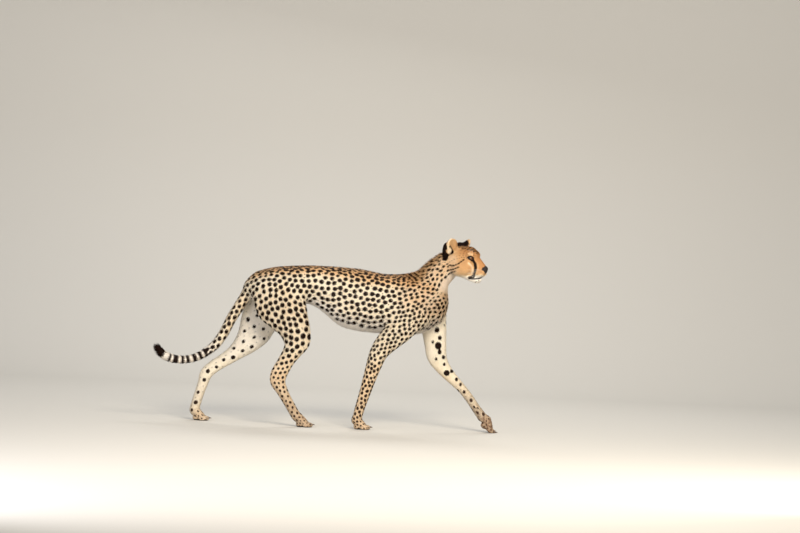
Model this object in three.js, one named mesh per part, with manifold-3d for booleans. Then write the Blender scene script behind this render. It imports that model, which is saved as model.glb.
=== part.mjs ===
// A walking cheetah, life size, modelled whole as one smooth field and parted into its nodes by thin cuts.
// Millimetres. X points forward, Y to the animal's left, Z up. The floor is Z = 0, and the origin is under
// the middle of the body. The solids follow the tips of the coat.
import * as THREE from "three";
import { SimplifyModifier } from "three/addons/modifiers/SimplifyModifier.js";
import Module from "manifold-3d";

const wasm = await Module();
wasm.setup();

// ---------------------------------------------------------------- driving dimensions

const GAP = 0.3; // clear space that each cut leaves between two neighbours
const HEAD_PIVOT = [600, -8, 850]; // the top of the neck, which the head turns about
const HEAD_YAW = THREE.MathUtils.degToRad(-20); // the head looks a little to the animal's right
const EYE_RADIUS = 17;
const EYE_CENTRE = [112, 34, 27]; // in the head's own frame
const EYE_LOOK = [0.74, 0.66, 0.1]; // the way that the left eye faces
const ORBIT = { at: [146, 46, 18], half: [26, 20, 20] }; // the hollow in front of an eye
const LID_OPENING = [15, 15, 10.5]; // half sizes of the hollow that bares the eye
const TOE_SPREAD = 15.5; // between the middle lines of two toes
const TOE_RADII = [21, 9.6, 13];
const DEWCLAW_TOE = [12, 6.5, 7.5];
const CLAW_LENGTH = 17;
const CLAW_RADIUS = 3.6;
const CLAW_DROP = 3; // how far its tip curves down
const BODY_BLEND = 42; // how widely a limb flows into the trunk
const HEAD_BLEND = 15;
const LID_BLEND = 5;
const FAR = 80; // further off than this, a form has no say in the shape

// A station of a sweep: [x, y, z, front, back, side]. The section is an oval across the path, and front,
// back and side are its half sizes. On the trunk and neck, front is the upper side and back the lower one.
const TRUNK = [
  [-372, 0, 682, 58, 62, 52],
  [-330, 0, 690, 80, 76, 78],
  [-270, 0, 698, 92, 88, 92],
  [-200, 0, 704, 95, 92, 90],
  [-130, 0, 706, 98, 94, 80],
  [-65, 0, 702, 105, 98, 76],
  [0, 0, 690, 117, 116, 79],
  [60, 0, 674, 132, 140, 85],
  [120, 0, 656, 146, 160, 91],
  [190, 0, 642, 148, 158, 95],
  [260, 0, 636, 144, 156, 96],
  [330, 0, 636, 144, 158, 94],
  [400, 0, 638, 142, 158, 90],
  [462, 0, 640, 118, 150, 86],
  [525, 0, 636, 84, 106, 74],
];
const NECK = [
  [440, 0, 668, 98, 104, 80],
  [492, 0, 712, 93, 88, 70],
  [533, -1, 772, 85, 74, 60],
  [570, -3, 814, 78, 69, 55],
  [604, -8, 846, 70, 68, 53],
];
const TAIL = [
  [-350, 0, 720, 34, 34, 34],
  [-393, 0, 677, 33, 33, 32],
  [-434, 0, 606, 31, 31, 30],
  [-482, 0, 524, 29, 29, 29],
  [-516, 0, 452, 28, 28, 28],
  [-560, 0, 385, 27, 27, 27],
  [-630, 0, 331, 24, 24, 25],
  [-700, 0, 307, 23, 23, 24],
  [-765, 0, 308, 24, 24, 25],
  [-812, 0, 325, 25, 25, 26],
  [-845, 0, 357, 20, 20, 21],
];

// A cut: a point on it and the way that it faces, towards the foot, the nose or the tail's tip.
const NECK_CUT = { at: [516, 0, 718], facing: [0.633, 0, 0.774] };
const HEAD_CUT = { at: [592, -6, 832], facing: [0.78, -0.16, 0.605] };
const TAIL_CUTS = [
  { at: [-418, 0, 636], facing: [-0.5, 0, -0.866] },
  { at: [-530, 0, 426], facing: [-0.53, 0, -0.85] },
  { at: [-700, 0, 307], facing: [-1, 0, -0.1] },
];

// Each leg: its side (1 is the animal's left), its stations, its cuts from the body down, the stretch of the
// trunk that its uppermost cut may reach, and where its paw stands.
const LEGS = [
  {
    name: "foreleg_right",
    side: -1,
    parts: ["upper_arm", "forearm", "paw"],
    stations: [
      [432, -64, 600, 80, 78, 34],
      [368, -74, 512, 68, 66, 36],
      [305, -80, 450, 60, 58, 36],
      [262, -80, 392, 49, 47, 33],
      [241, -78, 330, 41, 41, 29],
      [222, -75, 265, 35, 35, 26],
      [206, -73, 205, 31, 31, 24],
      [190, -71, 150, 28, 28, 23],
      [176, -70, 98, 26, 26, 23],
      [166, -69, 56, 25, 24, 25],
    ],
    cuts: [
      { at: [300, 0, 452], facing: [0.0, -0.6, -0.8] },
      { at: [258, 0, 384], facing: [-0.35, 0, -0.94] },
      { at: [186, 0, 136], facing: [-0.26, 0, -0.97] },
    ],
    reach: [100, 600],
    paw: { at: [154, -69, 0], yaw: 3, tilt: 0 },
    dewclaw: { at: [186, -44, 106], yaw: 12, tilt: 62 },
  },
  {
    name: "foreleg_left",
    side: 1,
    parts: ["upper_arm", "forearm", "paw"],
    stations: [
      [510, 64, 600, 82, 78, 34],
      [530, 72, 512, 66, 64, 35],
      [541, 76, 435, 58, 56, 34],
      [553, 78, 372, 50, 52, 32],
      [582, 78, 322, 38, 40, 29],
      [628, 76, 270, 30, 30, 25],
      [680, 74, 220, 24, 24, 22],
      [720, 73, 174, 23, 23, 22],
      [756, 72, 125, 23, 23, 22],
      [792, 71, 78, 25, 25, 24],
    ],
    cuts: [
      { at: [540, 0, 452], facing: [0.0, 0.6, -0.8] },
      { at: [566, 0, 352], facing: [0.55, 0, -0.83] },
      { at: [722, 0, 172], facing: [0.62, 0, -0.78] },
    ],
    reach: [380, 920],
    paw: { at: [784, 71, 30], yaw: -3, tilt: 30 },
    dewclaw: { at: [764, 47, 128], yaw: -12, tilt: 30 },
  },
  {
    name: "hindleg_right",
    side: -1,
    parts: ["thigh", "shank", "metatarsus", "paw"],
    stations: [
      [-262, -56, 690, 112, 112, 34],
      [-246, -68, 612, 134, 124, 40],
      [-210, -76, 552, 116, 100, 43],
      [-178, -80, 502, 93, 78, 42],
      [-158, -82, 460, 80, 70, 40],
      [-152, -82, 424, 70, 64, 37],
      [-167, -81, 384, 52, 50, 32],
      [-190, -79, 344, 44, 42, 28],
      [-211, -77, 304, 42, 41, 26],
      [-230, -75, 262, 42, 44, 25],
      [-236, -74, 224, 40, 40, 25],
      [-214, -73, 180, 30, 31, 23],
      [-188, -72, 136, 26, 27, 22],
      [-161, -71, 92, 25, 26, 23],
      [-140, -70, 56, 25, 25, 25],
    ],
    cuts: [
      { at: [-100, 0, 550], facing: [-0.068, -0.61, -0.79] },
      { at: [-166, 0, 402], facing: [-0.25, 0, -0.97] },
      { at: [-241, 0, 216], facing: [0.3, 0, -0.95] },
      { at: [-163, 0, 95], facing: [0.5, 0, -0.87] },
    ],
    reach: [-470, -10],
    paw: { at: [-134, -70, 0], yaw: 4, tilt: 0 },
  },
  {
    name: "hindleg_left",
    side: 1,
    parts: ["thigh", "shank", "metatarsus", "paw"],
    stations: [
      [-272, 56, 690, 112, 112, 34],
      [-292, 68, 622, 124, 122, 40],
      [-325, 75, 560, 108, 106, 43],
      [-350, 79, 502, 95, 93, 42],
      [-371, 80, 450, 84, 81, 40],
      [-405, 79, 400, 63, 63, 36],
      [-456, 78, 350, 43, 44, 30],
      [-510, 76, 309, 35, 36, 26],
      [-562, 75, 272, 32, 35, 24],
      [-600, 74, 234, 31, 34, 24],
      [-614, 74, 190, 27, 28, 22],
      [-629, 73, 142, 25, 26, 22],
      [-642, 72, 96, 25, 26, 23],
      [-653, 72, 56, 25, 25, 25],
    ],
    cuts: [
      { at: [-100, 0, 550], facing: [-0.068, 0.61, -0.79] },
      { at: [-410, 0, 394], facing: [-0.75, 0, -0.66] },
      { at: [-604, 0, 220], facing: [-0.35, 0, -0.94] },
      { at: [-642, 0, 96], facing: [-0.2, 0, -0.98] },
    ],
    reach: [-800, -10],
    paw: { at: [-657, 72, 0], yaw: -4, tilt: 0 },
  },
];

// The ears, in the head's own frame: the middle of the root, the ways that the ear points and opens, and the
// middle of the swelling behind its root.
const EARS = [
  { name: "ear_right", root: [27, -44, 61], up: [-0.14, -0.3, 0.94], face: [0.86, -0.5, 0.08], heel: [-12, -54, 55] },
  { name: "ear_left", root: [48, 42, 62], up: [0.42, 0.26, 0.87], face: [0.8, 0.6, 0.05], heel: [22, 46, 59] },
];
const EAR_HEEL = [15, 15, 40];

// ---------------------------------------------------------------- numbers

const clamp = (v, low, high) => Math.min(Math.max(v, low), high);
const mix = (a, b, t) => a + (b - a) * t;

// The smaller of two distances, with a fillet about blend wide where they cross.
function blendMin(a, b, blend) {
  const h = Math.max(blend - Math.abs(a - b), 0) / blend;
  return Math.min(a, b) - (h * h * blend) / 4;
}

const blendMax = (a, b, blend) => -blendMin(-a, -b, blend);

// More stations along the smooth curve through the given ones.
function refine(stations, steps = 4) {
  const at = (i) => stations[clamp(i, 0, stations.length - 1)];
  const curve = (p, a, b, n, t) =>
    a + 0.5 * t * (b - p + t * (2 * p - 5 * a + 4 * b - n + t * (3 * (a - b) + n - p)));
  const rows = [];
  for (let i = 0; i < stations.length - 1; i++)
    for (let s = 0; s < steps; s++)
      rows.push(at(i).map((a, c) => curve(at(i - 1)[c], a, at(i + 1)[c], at(i + 2)[c], s / steps)));
  rows.push(stations.at(-1));
  return rows;
}

// ---------------------------------------------------------------- forms: functions that give a distance

// The distance to an oval of half sizes a, b and c, from a point given along its own axes.
function ovalDistance(u, v, w, a, b, c) {
  const size = Math.hypot(u / a, v / b, w / c);
  const slope = Math.hypot(u / (a * a), v / (b * b), w / (c * c));
  return slope < 1e-9 ? -Math.min(a, b, c) : ((size - 1) * size) / slope;
}

// One straight piece of a sweep, between two rows of stations.
function bar(start, end) {
  const from = new THREE.Vector3(...start);
  const along = new THREE.Vector3(...end).sub(from);
  const length = along.length();
  const d = along.clone().normalize();
  const s = new THREE.Vector3(0, 1, 0).addScaledVector(d, -d.y).normalize();
  const n = new THREE.Vector3().crossVectors(d, s);
  const middle = from.clone().addScaledVector(along, 0.5);
  const reach = length / 2 + Math.max(...start.slice(3), ...end.slice(3));
  const size = new THREE.Vector3().setScalar(2 * reach);
  return { start, end, from, length, d, s, n, middle, reach, size };
}

// The same form, but far outside its box only the distance to the box is worked out, which is enough there.
function bounded({ min, max }, form) {
  return (x, y, z) => {
    const far = Math.hypot(
      Math.max(min.x - x, 0, x - max.x),
      Math.max(min.y - y, 0, y - max.y),
      Math.max(min.z - z, 0, z - max.z),
    );
    return far > FAR ? far : form(x, y, z);
  };
}

// An oval section swept along a smooth path, with round ends.
function sweep(stations) {
  const rows = refine(stations);
  const bars = rows.slice(1).map((end, i) => bar(rows[i], end));
  const hull = new THREE.Box3();
  for (const b of bars) hull.union(new THREE.Box3().setFromCenterAndSize(b.middle, b.size));
  return bounded(hull, (x, y, z) => {
    let best = Infinity;
    for (const b of bars) {
      if (Math.hypot(x - b.middle.x, y - b.middle.y, z - b.middle.z) - b.reach > best) continue;
      const px = x - b.from.x;
      const py = y - b.from.y;
      const pz = z - b.from.z;
      const run = px * b.d.x + py * b.d.y + pz * b.d.z;
      const on = clamp(run, 0, b.length);
      const t = on / b.length;
      const up = px * b.n.x + py * b.n.y + pz * b.n.z;
      const across = px * b.s.x + py * b.s.y + pz * b.s.z;
      const side = up > 0 ? 3 : 4;
      const deep = mix(b.start[side], b.end[side], t);
      const wide = mix(b.start[5], b.end[5], t);
      best = Math.min(best, ovalDistance(up, across, run - on, deep, wide, Math.min(deep, wide)));
    }
    return best;
  });
}

// An ellipsoid with half sizes along its own axes, which may be turned.
function blob([cx, cy, cz], [a, b, c], turn = new THREE.Matrix3()) {
  const m = turn.clone().transpose().elements;
  return (x, y, z) => {
    const u = x - cx;
    const v = y - cy;
    const w = z - cz;
    return ovalDistance(
      m[0] * u + m[3] * v + m[6] * w,
      m[1] * u + m[4] * v + m[7] * w,
      m[2] * u + m[5] * v + m[8] * w,
      a,
      b,
      c,
    );
  };
}

// Several forms that flow into each other.
const joined = (forms, blend) => (x, y, z) =>
  forms.reduce((sum, form) => blendMin(sum, form(x, y, z), blend), 1e6);

// A frame of its own for some forms: an origin, a turn to the side and a tilt nose down, in radians.
function frameAt(origin, yaw, tilt = 0) {
  const matrix = new THREE.Matrix4().makeRotationZ(yaw);
  matrix.multiply(new THREE.Matrix4().makeRotationY(tilt));
  return matrix.setPosition(...origin);
}

// A form given in a frame, as a form in the whole animal's frame.
function placed(form, frame) {
  const m = frame.clone().invert().elements;
  return (x, y, z) =>
    form(
      m[0] * x + m[4] * y + m[8] * z + m[12],
      m[1] * x + m[5] * y + m[9] * z + m[13],
      m[2] * x + m[6] * y + m[10] * z + m[14],
    );
}

// ---------------------------------------------------------------- the head, in its own frame

const HEAD_FRAME = frameAt(HEAD_PIVOT, HEAD_YAW);
const mirrored = ([x, y, z], side) => [x, y * side, z];

function headForm() {
  const forms = [
    blob([52, 0, 16], [74, 60, 72]), // brain case
    blob([97, 0, 34], [47, 41, 52]), // forehead
    sweep([
      [108, 0, 20, 32, 30, 32],
      [132, 0, 12, 28, 34, 23],
      [150, 0, 3, 21, 32, 19],
      [166, 0, -9, 17, 26, 17],
      [180, 0, -20, 14, 20, 15],
    ]), // bridge of the nose
    sweep([
      [100, 0, -14, 36, 40, 46],
      [128, 0, -28, 32, 30, 37],
      [150, 0, -38, 24, 22, 30],
      [163, 0, -42, 19, 18, 24],
    ]), // upper jaw
    sweep([
      [62, 0, -46, 22, 28, 44],
      [108, 0, -66, 24, 22, 34],
      [143, 0, -76, 24, 22, 23],
    ]), // lower jaw and chin
    blob([184, 0, -28], [13, 17, 14]), // nose leather
  ];
  for (const side of [-1, 1]) {
    forms.push(blob(mirrored([66, 38, -22], side), [50, 30, 46])); // cheek
    forms.push(blob(mirrored([100, 38, 1], side), [32, 22, 22])); // cheekbone
    forms.push(blob(mirrored([118, 21, 44], side), [28, 19, 20])); // brow
    forms.push(blob(mirrored([160, 19, -46], side), [23, 19, 18])); // whisker pad
  }
  const flesh = joined(forms, HEAD_BLEND);
  const orbits = [-1, 1].map((side) => blob(mirrored(ORBIT.at, side), ORBIT.half));
  const lids = [-1, 1].map((side) => {
    const middle = EYE_CENTRE.map((v, i) => v + EYE_LOOK[i] * (EYE_RADIUS + 1));
    return blob(mirrored(middle, side), LID_OPENING);
  });
  const carved = (hollows, blend, solid) => (x, y, z) =>
    hollows.reduce((sum, hollow) => blendMax(sum, -hollow(x, y, z), blend), solid(x, y, z));
  return carved(lids, LID_BLEND, carved(orbits, HEAD_BLEND, flesh));
}

function earTurn({ up, face }) {
  const high = new THREE.Vector3(...up).normalize();
  const wide = new THREE.Vector3(...face).cross(high).normalize();
  const thick = new THREE.Vector3().crossVectors(high, wide);
  return new THREE.Matrix3().setFromMatrix4(new THREE.Matrix4().makeBasis(wide, thick, high));
}

// A point of an ear, given across it, out of its opening and up it.
function earPoint(ear, across, out, up) {
  const p = new THREE.Vector3(across, out, up).applyMatrix3(earTurn(ear));
  return p.add(new THREE.Vector3(...ear.root)).toArray();
}

// A short, broad cup with a round rim.
function earForm(ear) {
  const turn = earTurn(ear);
  const cup = blob(earPoint(ear, 0, 0, 28), [33, 14, 36], turn);
  const butt = blob(earPoint(ear, 0, 0, 6), [29, 20, 24], turn);
  const hollow = blob(earPoint(ear, 0, 16, 36), [27, 20, 28], turn);
  const notch = blob(earPoint(ear, 0, 18, 16), [15, 18, 18], turn);
  const heel = blob(ear.heel, EAR_HEEL);
  return (x, y, z) => {
    const closed = blendMin(cup(x, y, z), butt(x, y, z), 10);
    const open = blendMax(closed, -blendMin(hollow(x, y, z), notch(x, y, z), 12), 5);
    return blendMin(open, heel(x, y, z), 12);
  };
}

// ---------------------------------------------------------------- a paw, in its own frame, X to the toes

const toeCentre = (i) => [i === 0 || i === 3 ? 50 : 61, (i - 1.5) * TOE_SPREAD, 12];

function pawForm() {
  const toes = [0, 1, 2, 3].map((i) => blob(toeCentre(i), TOE_RADII));
  const instep = sweep([
    [8, 0, 44, 26, 24, 25],
    [26, 0, 30, 24, 22, 29],
    [44, 0, 20, 17, 18, 30],
  ]);
  const heelPad = blob([16, 0, 13], [20, 21, 15]);
  return (x, y, z) => {
    const foot = blendMin(instep(x, y, z), heelPad(x, y, z), 12);
    return toes.reduce((sum, toe) => blendMin(sum, toe(x, y, z), 7), foot);
  };
}

const pawFrame = ({ at, yaw, tilt }) =>
  frameAt(at, THREE.MathUtils.degToRad(yaw), THREE.MathUtils.degToRad(tilt));

// ---------------------------------------------------------------- the whole animal as fields

const trunk = sweep(TRUNK);
const headBox = new THREE.Box3(new THREE.Vector3(550, -140, 720), new THREE.Vector3(820, 90, 1000));
const skull = bounded(headBox, placed(headForm(), HEAD_FRAME));
const ears = EARS.map((ear) => bounded(headBox, placed(earForm(ear), HEAD_FRAME)));
const neck = sweep(NECK);
const tail = sweep(TAIL);

function frontField(x, y, z) {
  const upper = blendMin(blendMin(neck(x, y, z), skull(x, y, z), 26), trunk(x, y, z), 60);
  return ears.reduce((sum, ear) => blendMin(sum, ear(x, y, z), 10), upper);
}

const tailField = (x, y, z) => blendMin(trunk(x, y, z), tail(x, y, z), 26);

function legField(leg) {
  const limb = sweep(leg.stations);
  const forms = [placed(pawForm(), pawFrame(leg.paw))];
  if (leg.dewclaw) forms.push(placed(blob([-4, 0, 0], DEWCLAW_TOE), pawFrame(leg.dewclaw)));
  const foot = (x, y, z) => forms.reduce((sum, form) => blendMin(sum, form(x, y, z), 12), limb(x, y, z));
  return (x, y, z) => blendMin(foot(x, y, z), trunk(x, y, z), BODY_BLEND);
}

const legFields = LEGS.map(legField);

const bodyField = (x, y, z) =>
  Math.min(frontField(x, y, z), tailField(x, y, z), ...legFields.map((leg) => leg(x, y, z)));

// ---------------------------------------------------------------- from a field to a closed mesh

// Moves a point along the field's slope until it lies on the surface.
function settle(field, p, most) {
  const e = 0.5;
  const start = p.clone();
  for (let pass = 0; pass < 3; pass++) {
    const here = field(p.x, p.y, p.z);
    const slope = new THREE.Vector3(
      field(p.x + e, p.y, p.z) - field(p.x - e, p.y, p.z),
      field(p.x, p.y + e, p.z) - field(p.x, p.y - e, p.z),
      field(p.x, p.y, p.z + e) - field(p.x, p.y, p.z - e),
    ).divideScalar(2 * e);
    p.addScaledVector(slope, -here / Math.max(slope.lengthSq(), 0.1));
  }
  return p.distanceTo(start) < most ? p : start;
}

// A closed solid of the field inside a box. A fine mesh comes first, with one vertex in each cell that the
// surface passes through, and it is then thinned to about the number of faces asked for.
async function bodyOf(field, [low, high], { cell, faces }) {
  const count = low.map((v, i) => Math.ceil((high[i] - v) / cell) + 1);
  const at = (i, axis) => low[axis] + i * cell;
  const id = (i, j, k) => (i * count[1] + j) * count[2] + k;
  const edge = (i, j, k) => [i, j, k].some((v, axis) => v === 0 || v === count[axis] - 1);
  const values = new Float32Array(count[0] * count[1] * count[2]);
  for (let i = 0; i < count[0]; i++)
    for (let j = 0; j < count[1]; j++)
      for (let k = 0; k < count[2]; k++)
        values[id(i, j, k)] = edge(i, j, k) ? 50 : field(at(i, 0), at(j, 1), at(k, 2));

  const corners = [0, 1, 2, 3, 4, 5, 6, 7].map((c) => [c >> 2, (c >> 1) & 1, c & 1]);
  const neighbours = (a, b) => a.filter((v, axis) => v !== b[axis]).length === 1;
  const pairs = corners.flatMap((a, i) =>
    corners.slice(i + 1).filter((b) => neighbours(a, b)).map((b) => [a, b]),
  );
  const vertexOf = new Map();
  const points = [];
  for (let i = 0; i < count[0] - 1; i++)
    for (let j = 0; j < count[1] - 1; j++)
      for (let k = 0; k < count[2] - 1; k++) {
        const sum = new THREE.Vector3();
        let hits = 0;
        for (const [a, b] of pairs) {
          const va = values[id(i + a[0], j + a[1], k + a[2])];
          const vb = values[id(i + b[0], j + b[1], k + b[2])];
          if (va < 0 === vb < 0) continue;
          const t = va / (va - vb);
          sum.x += at(i + mix(a[0], b[0], t), 0);
          sum.y += at(j + mix(a[1], b[1], t), 1);
          sum.z += at(k + mix(a[2], b[2], t), 2);
          hits++;
        }
        if (!hits) continue;
        vertexOf.set(id(i, j, k), points.length);
        points.push(settle(field, sum.divideScalar(hits), cell));
      }

  const triangles = [];
  const addQuad = (a, b, c, d, flip) => {
    const q = [a, b, c, d].map((v) => vertexOf.get(v));
    const short = points[q[0]].distanceTo(points[q[2]]) < points[q[1]].distanceTo(points[q[3]]);
    const halves = short ? [[0, 1, 2], [0, 2, 3]] : [[0, 1, 3], [1, 2, 3]];
    for (const [u, v, w] of halves) triangles.push(q[u], q[flip ? w : v], q[flip ? v : w]);
  };
  for (let i = 0; i < count[0] - 1; i++)
    for (let j = 0; j < count[1] - 1; j++)
      for (let k = 0; k < count[2] - 1; k++) {
        const inside = values[id(i, j, k)] < 0;
        if (j && k && inside !== values[id(i + 1, j, k)] < 0)
          addQuad(id(i, j - 1, k - 1), id(i, j, k - 1), id(i, j, k), id(i, j - 1, k), !inside);
        if (i && k && inside !== values[id(i, j + 1, k)] < 0)
          addQuad(id(i - 1, j, k - 1), id(i, j, k - 1), id(i, j, k), id(i - 1, j, k), inside);
        if (i && j && inside !== values[id(i, j, k + 1)] < 0)
          addQuad(id(i - 1, j - 1, k), id(i, j - 1, k), id(i, j, k), id(i - 1, j, k), !inside);
      }
  const fine = new THREE.BufferGeometry().setFromPoints(points).setIndex(triangles);
  const thinned = await new SimplifyModifier().modify(fine, points.length - faces / 2);
  return solidFrom(thinned.getAttribute("position").array, new Uint32Array(thinned.index.array));
}

// ---------------------------------------------------------------- solids

const solidFrom = (vertProperties, triVerts) =>
  new wasm.Manifold(new wasm.Mesh({ numProp: 3, vertProperties, triVerts }));

// A three.js geometry whose faces share their corners, as a solid.
function solidOf(geometry) {
  const corners = geometry.getAttribute("position");
  const index = geometry.index?.array ?? [...Array(corners.count).keys()];
  const seen = new Map();
  const points = [];
  const number = (i) => {
    const p = [corners.getX(i), corners.getY(i), corners.getZ(i)];
    const key = p.map((v) => Math.round(v * 1000)).join();
    if (!seen.has(key)) {
      seen.set(key, points.length / 3);
      points.push(...p);
    }
    return seen.get(key);
  };
  const merged = Array.from(index, number);
  const triangles = [];
  for (let i = 0; i < merged.length; i += 3) {
    const [a, b, c] = merged.slice(i, i + 3);
    if (a !== b && b !== c && c !== a) triangles.push(a, b, c);
  }
  return solidFrom(new Float32Array(points), new Uint32Array(triangles));
}

// All the space on the far side of a cut, less half a gap. With facing turned round, the near side.
function beyond({ at, facing }, sign = 1) {
  const size = 4000;
  const way = new THREE.Vector3(...facing).normalize().multiplyScalar(sign);
  const box = new THREE.BoxGeometry(size, size, size);
  box.applyQuaternion(new THREE.Quaternion().setFromUnitVectors(new THREE.Vector3(0, 0, 1), way));
  const middle = new THREE.Vector3(...at).addScaledVector(way, size / 2 + GAP / 2);
  return solidOf(box.translate(...middle));
}

// A block between two corners.
function block([low, high]) {
  const size = high.map((v, i) => v - low[i]);
  const middle = high.map((v, i) => (v + low[i]) / 2);
  return solidOf(new THREE.BoxGeometry(...size).translate(...middle));
}

// The space that a cut gives away on the trunk or the head, with half a gap more.
const givenAway = (cut, box) => block(box).subtract(beyond(cut, -1));

const FLOOR = { at: [0, 0, -GAP / 2], facing: [0, 0, 1] };

// ---------------------------------------------------------------- colours

const COLOURS = {
  coat: { color: 0xdfb67e, roughness: 0.85, metalness: 0 },
  pale: { color: 0xeedcba, roughness: 0.85, metalness: 0 },
  ear: { color: 0x2a211c, roughness: 0.85, metalness: 0 },
  eye: { color: 0x9a6a22, roughness: 0.08, metalness: 0 },
  claw: { color: 0x4a4038, roughness: 0.4, metalness: 0 },
};

const group = new THREE.Group();

function add(name, solid, finish) {
  const made = solid.getMesh();
  const geometry = new THREE.BufferGeometry();
  geometry.setAttribute("position", new THREE.BufferAttribute(made.vertProperties, 3));
  geometry.setIndex(new THREE.BufferAttribute(made.triVerts, 1));
  geometry.computeVertexNormals();
  const mesh = new THREE.Mesh(geometry, new THREE.MeshStandardMaterial(COLOURS[finish]));
  mesh.name = name;
  group.add(mesh);
}

// ---------------------------------------------------------------- head, ears and eyes

const inHead = (point) => new THREE.Vector3(...point).applyMatrix4(HEAD_FRAME).toArray();

function eyeSolid(side, grown) {
  const eye = new THREE.IcosahedronGeometry(EYE_RADIUS + grown, 2);
  return solidOf(eye.translate(...inHead(mirrored(EYE_CENTRE, side))));
}

function earCut(ear) {
  const at = inHead(earPoint(ear, 0, 0, 19));
  const facing = new THREE.Vector3(...ear.up).transformDirection(HEAD_FRAME).toArray();
  const middle = inHead(earPoint(ear, 0, 0, 36));
  const box = [[middle[0] - 60, middle[1] - 40, middle[2] - 40], middle.map((v) => v + 40)];
  return { at, facing, box };
}

async function addHead() {
  let head = await bodyOf(frontField, [[540, -140, 730], [810, 110, 990]], { cell: 6.5, faces: 1300 });
  head = head.intersect(beyond(HEAD_CUT));
  for (const ear of EARS) {
    const cut = earCut(ear);
    head = head.subtract(givenAway(cut, cut.box));
    const whole = await bodyOf(frontField, cut.box, { cell: 4.5, faces: 240 });
    add(ear.name, whole.intersect(beyond(cut)), "ear");
  }
  for (const [name, side] of [["eye_right", -1], ["eye_left", 1]]) {
    head = head.subtract(eyeSolid(side, GAP));
    add(name, eyeSolid(side, 0), "eye");
  }
  add("head", head, "coat");
}

async function addNeck() {
  const whole = await bodyOf(frontField, [[400, -130, 560], [690, 130, 930]], { cell: 13, faces: 560 });
  add("neck", whole.intersect(beyond(NECK_CUT)).intersect(beyond(HEAD_CUT, -1)), "coat");
}

// ---------------------------------------------------------------- trunk and tail

const legRegion = (leg) => [
  [leg.reach[0], leg.side < 0 ? -220 : 0, -50],
  [leg.reach[1], leg.side < 0 ? 0 : 220, 720],
];

async function addTrunk() {
  let body = await bodyOf(bodyField, [[-460, -160, 400], [640, 160, 850]], { cell: 14, faces: 1520 });
  body = body.intersect(beyond(NECK_CUT, -1));
  body = body.intersect(beyond(TAIL_CUTS[0], -1));
  for (const leg of LEGS) body = body.subtract(givenAway(leg.cuts[0], legRegion(leg)));
  add("trunk", body, "coat");
}

const TAIL_BOXES = [
  [[-600, -60, 380], [-370, 60, 720]],
  [[-730, -60, 260], [-500, 60, 470]],
  [[-890, -60, 260], [-660, 60, 420]],
];

async function addTail() {
  for (const [i, name] of ["tail_base", "tail_middle", "tail_tip"].entries()) {
    let length = await bodyOf(tailField, TAIL_BOXES[i], { cell: 9, faces: 220 });
    length = length.intersect(beyond(TAIL_CUTS[i]));
    if (TAIL_CUTS[i + 1]) length = length.intersect(beyond(TAIL_CUTS[i + 1], -1));
    add(name, length, "pale");
  }
}

// ---------------------------------------------------------------- legs and claws

// A curved, tapering claw, from its root along a level yaw and nose down by a tilt, in degrees.
function clawSolid(claw, grown) {
  const cone = new THREE.ConeGeometry(CLAW_RADIUS + grown, CLAW_LENGTH + grown, 6, 2);
  cone.rotateZ(-Math.PI / 2).translate((CLAW_LENGTH + grown) / 2, 0, 0);
  const p = cone.getAttribute("position");
  for (let i = 0; i < p.count; i++) p.setZ(i, p.getZ(i) - CLAW_DROP * (p.getX(i) / CLAW_LENGTH) ** 2);
  return solidOf(cone.applyMatrix4(pawFrame(claw)));
}

// A toe's claw leaves its tip level with the floor, however the paw is tilted.
function toeClaw(paw, toe) {
  const [x, y, z] = toeCentre(toe);
  const at = new THREE.Vector3(x + TOE_RADII[0] - 7, y, z + 3).applyMatrix4(pawFrame(paw));
  return { at, yaw: paw.yaw, tilt: 0 };
}

// The box round the stretch of a leg between two cuts.
function legBox(leg, i) {
  const nearest = ({ at }) => {
    const gaps = leg.stations.map((s) => Math.hypot(s[0] - at[0], s[2] - at[2]));
    return gaps.indexOf(Math.min(...gaps));
  };
  const first = i ? Math.max(nearest(leg.cuts[i]) - 2, 0) : 0;
  const last = leg.cuts[i + 1] ? nearest(leg.cuts[i + 1]) + 2 : leg.stations.length;
  const box = new THREE.Box3();
  for (const s of leg.stations.slice(first, last)) {
    const reach = Math.max(s[3], s[4], s[5]) + 16;
    box.expandByPoint(new THREE.Vector3(s[0] - reach, s[1] - s[5] - 16, s[2] - reach));
    box.expandByPoint(new THREE.Vector3(s[0] + reach, s[1] + s[5] + 16, s[2] + reach));
  }
  if (!leg.cuts[i + 1]) box.expandByPoint(new THREE.Vector3(leg.paw.at[0] + 110, leg.paw.at[1], -18));
  return [box.min.toArray(), box.max.toArray()];
}

const LEG_FINENESS = {
  upper_arm: { cell: 12, faces: 400 },
  thigh: { cell: 12, faces: 500 },
  forearm: { cell: 9, faces: 380 },
  shank: { cell: 9, faces: 380 },
  metatarsus: { cell: 9, faces: 220 },
  paw: { cell: 5.5, faces: 330 },
};

async function addLeg(leg, field) {
  for (const [i, part] of leg.parts.entries()) {
    let solid = await bodyOf(field, legBox(leg, i), LEG_FINENESS[part]);
    solid = solid.intersect(beyond(leg.cuts[i]));
    if (leg.cuts[i + 1]) solid = solid.intersect(beyond(leg.cuts[i + 1], -1));
    if (part === "paw") {
      const claws = [0, 1, 2, 3].map((toe) => toeClaw(leg.paw, toe));
      if (leg.dewclaw) claws.push(leg.dewclaw);
      solid = solid.intersect(beyond(FLOOR));
      for (const [toe, claw] of claws.entries()) {
        solid = solid.subtract(clawSolid(claw, GAP));
        const name = claw === leg.dewclaw ? "dewclaw" : "claw_" + (toe + 1);
        add(leg.name + "_" + name, clawSolid(claw, 0), "claw");
      }
    }
    add(leg.name + "_" + part, solid, "coat");
  }
}

await addTrunk();
await addNeck();
await addHead();
await addTail();
for (const [i, leg] of LEGS.entries()) await addLeg(leg, legFields[i]);

export default group;
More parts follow.
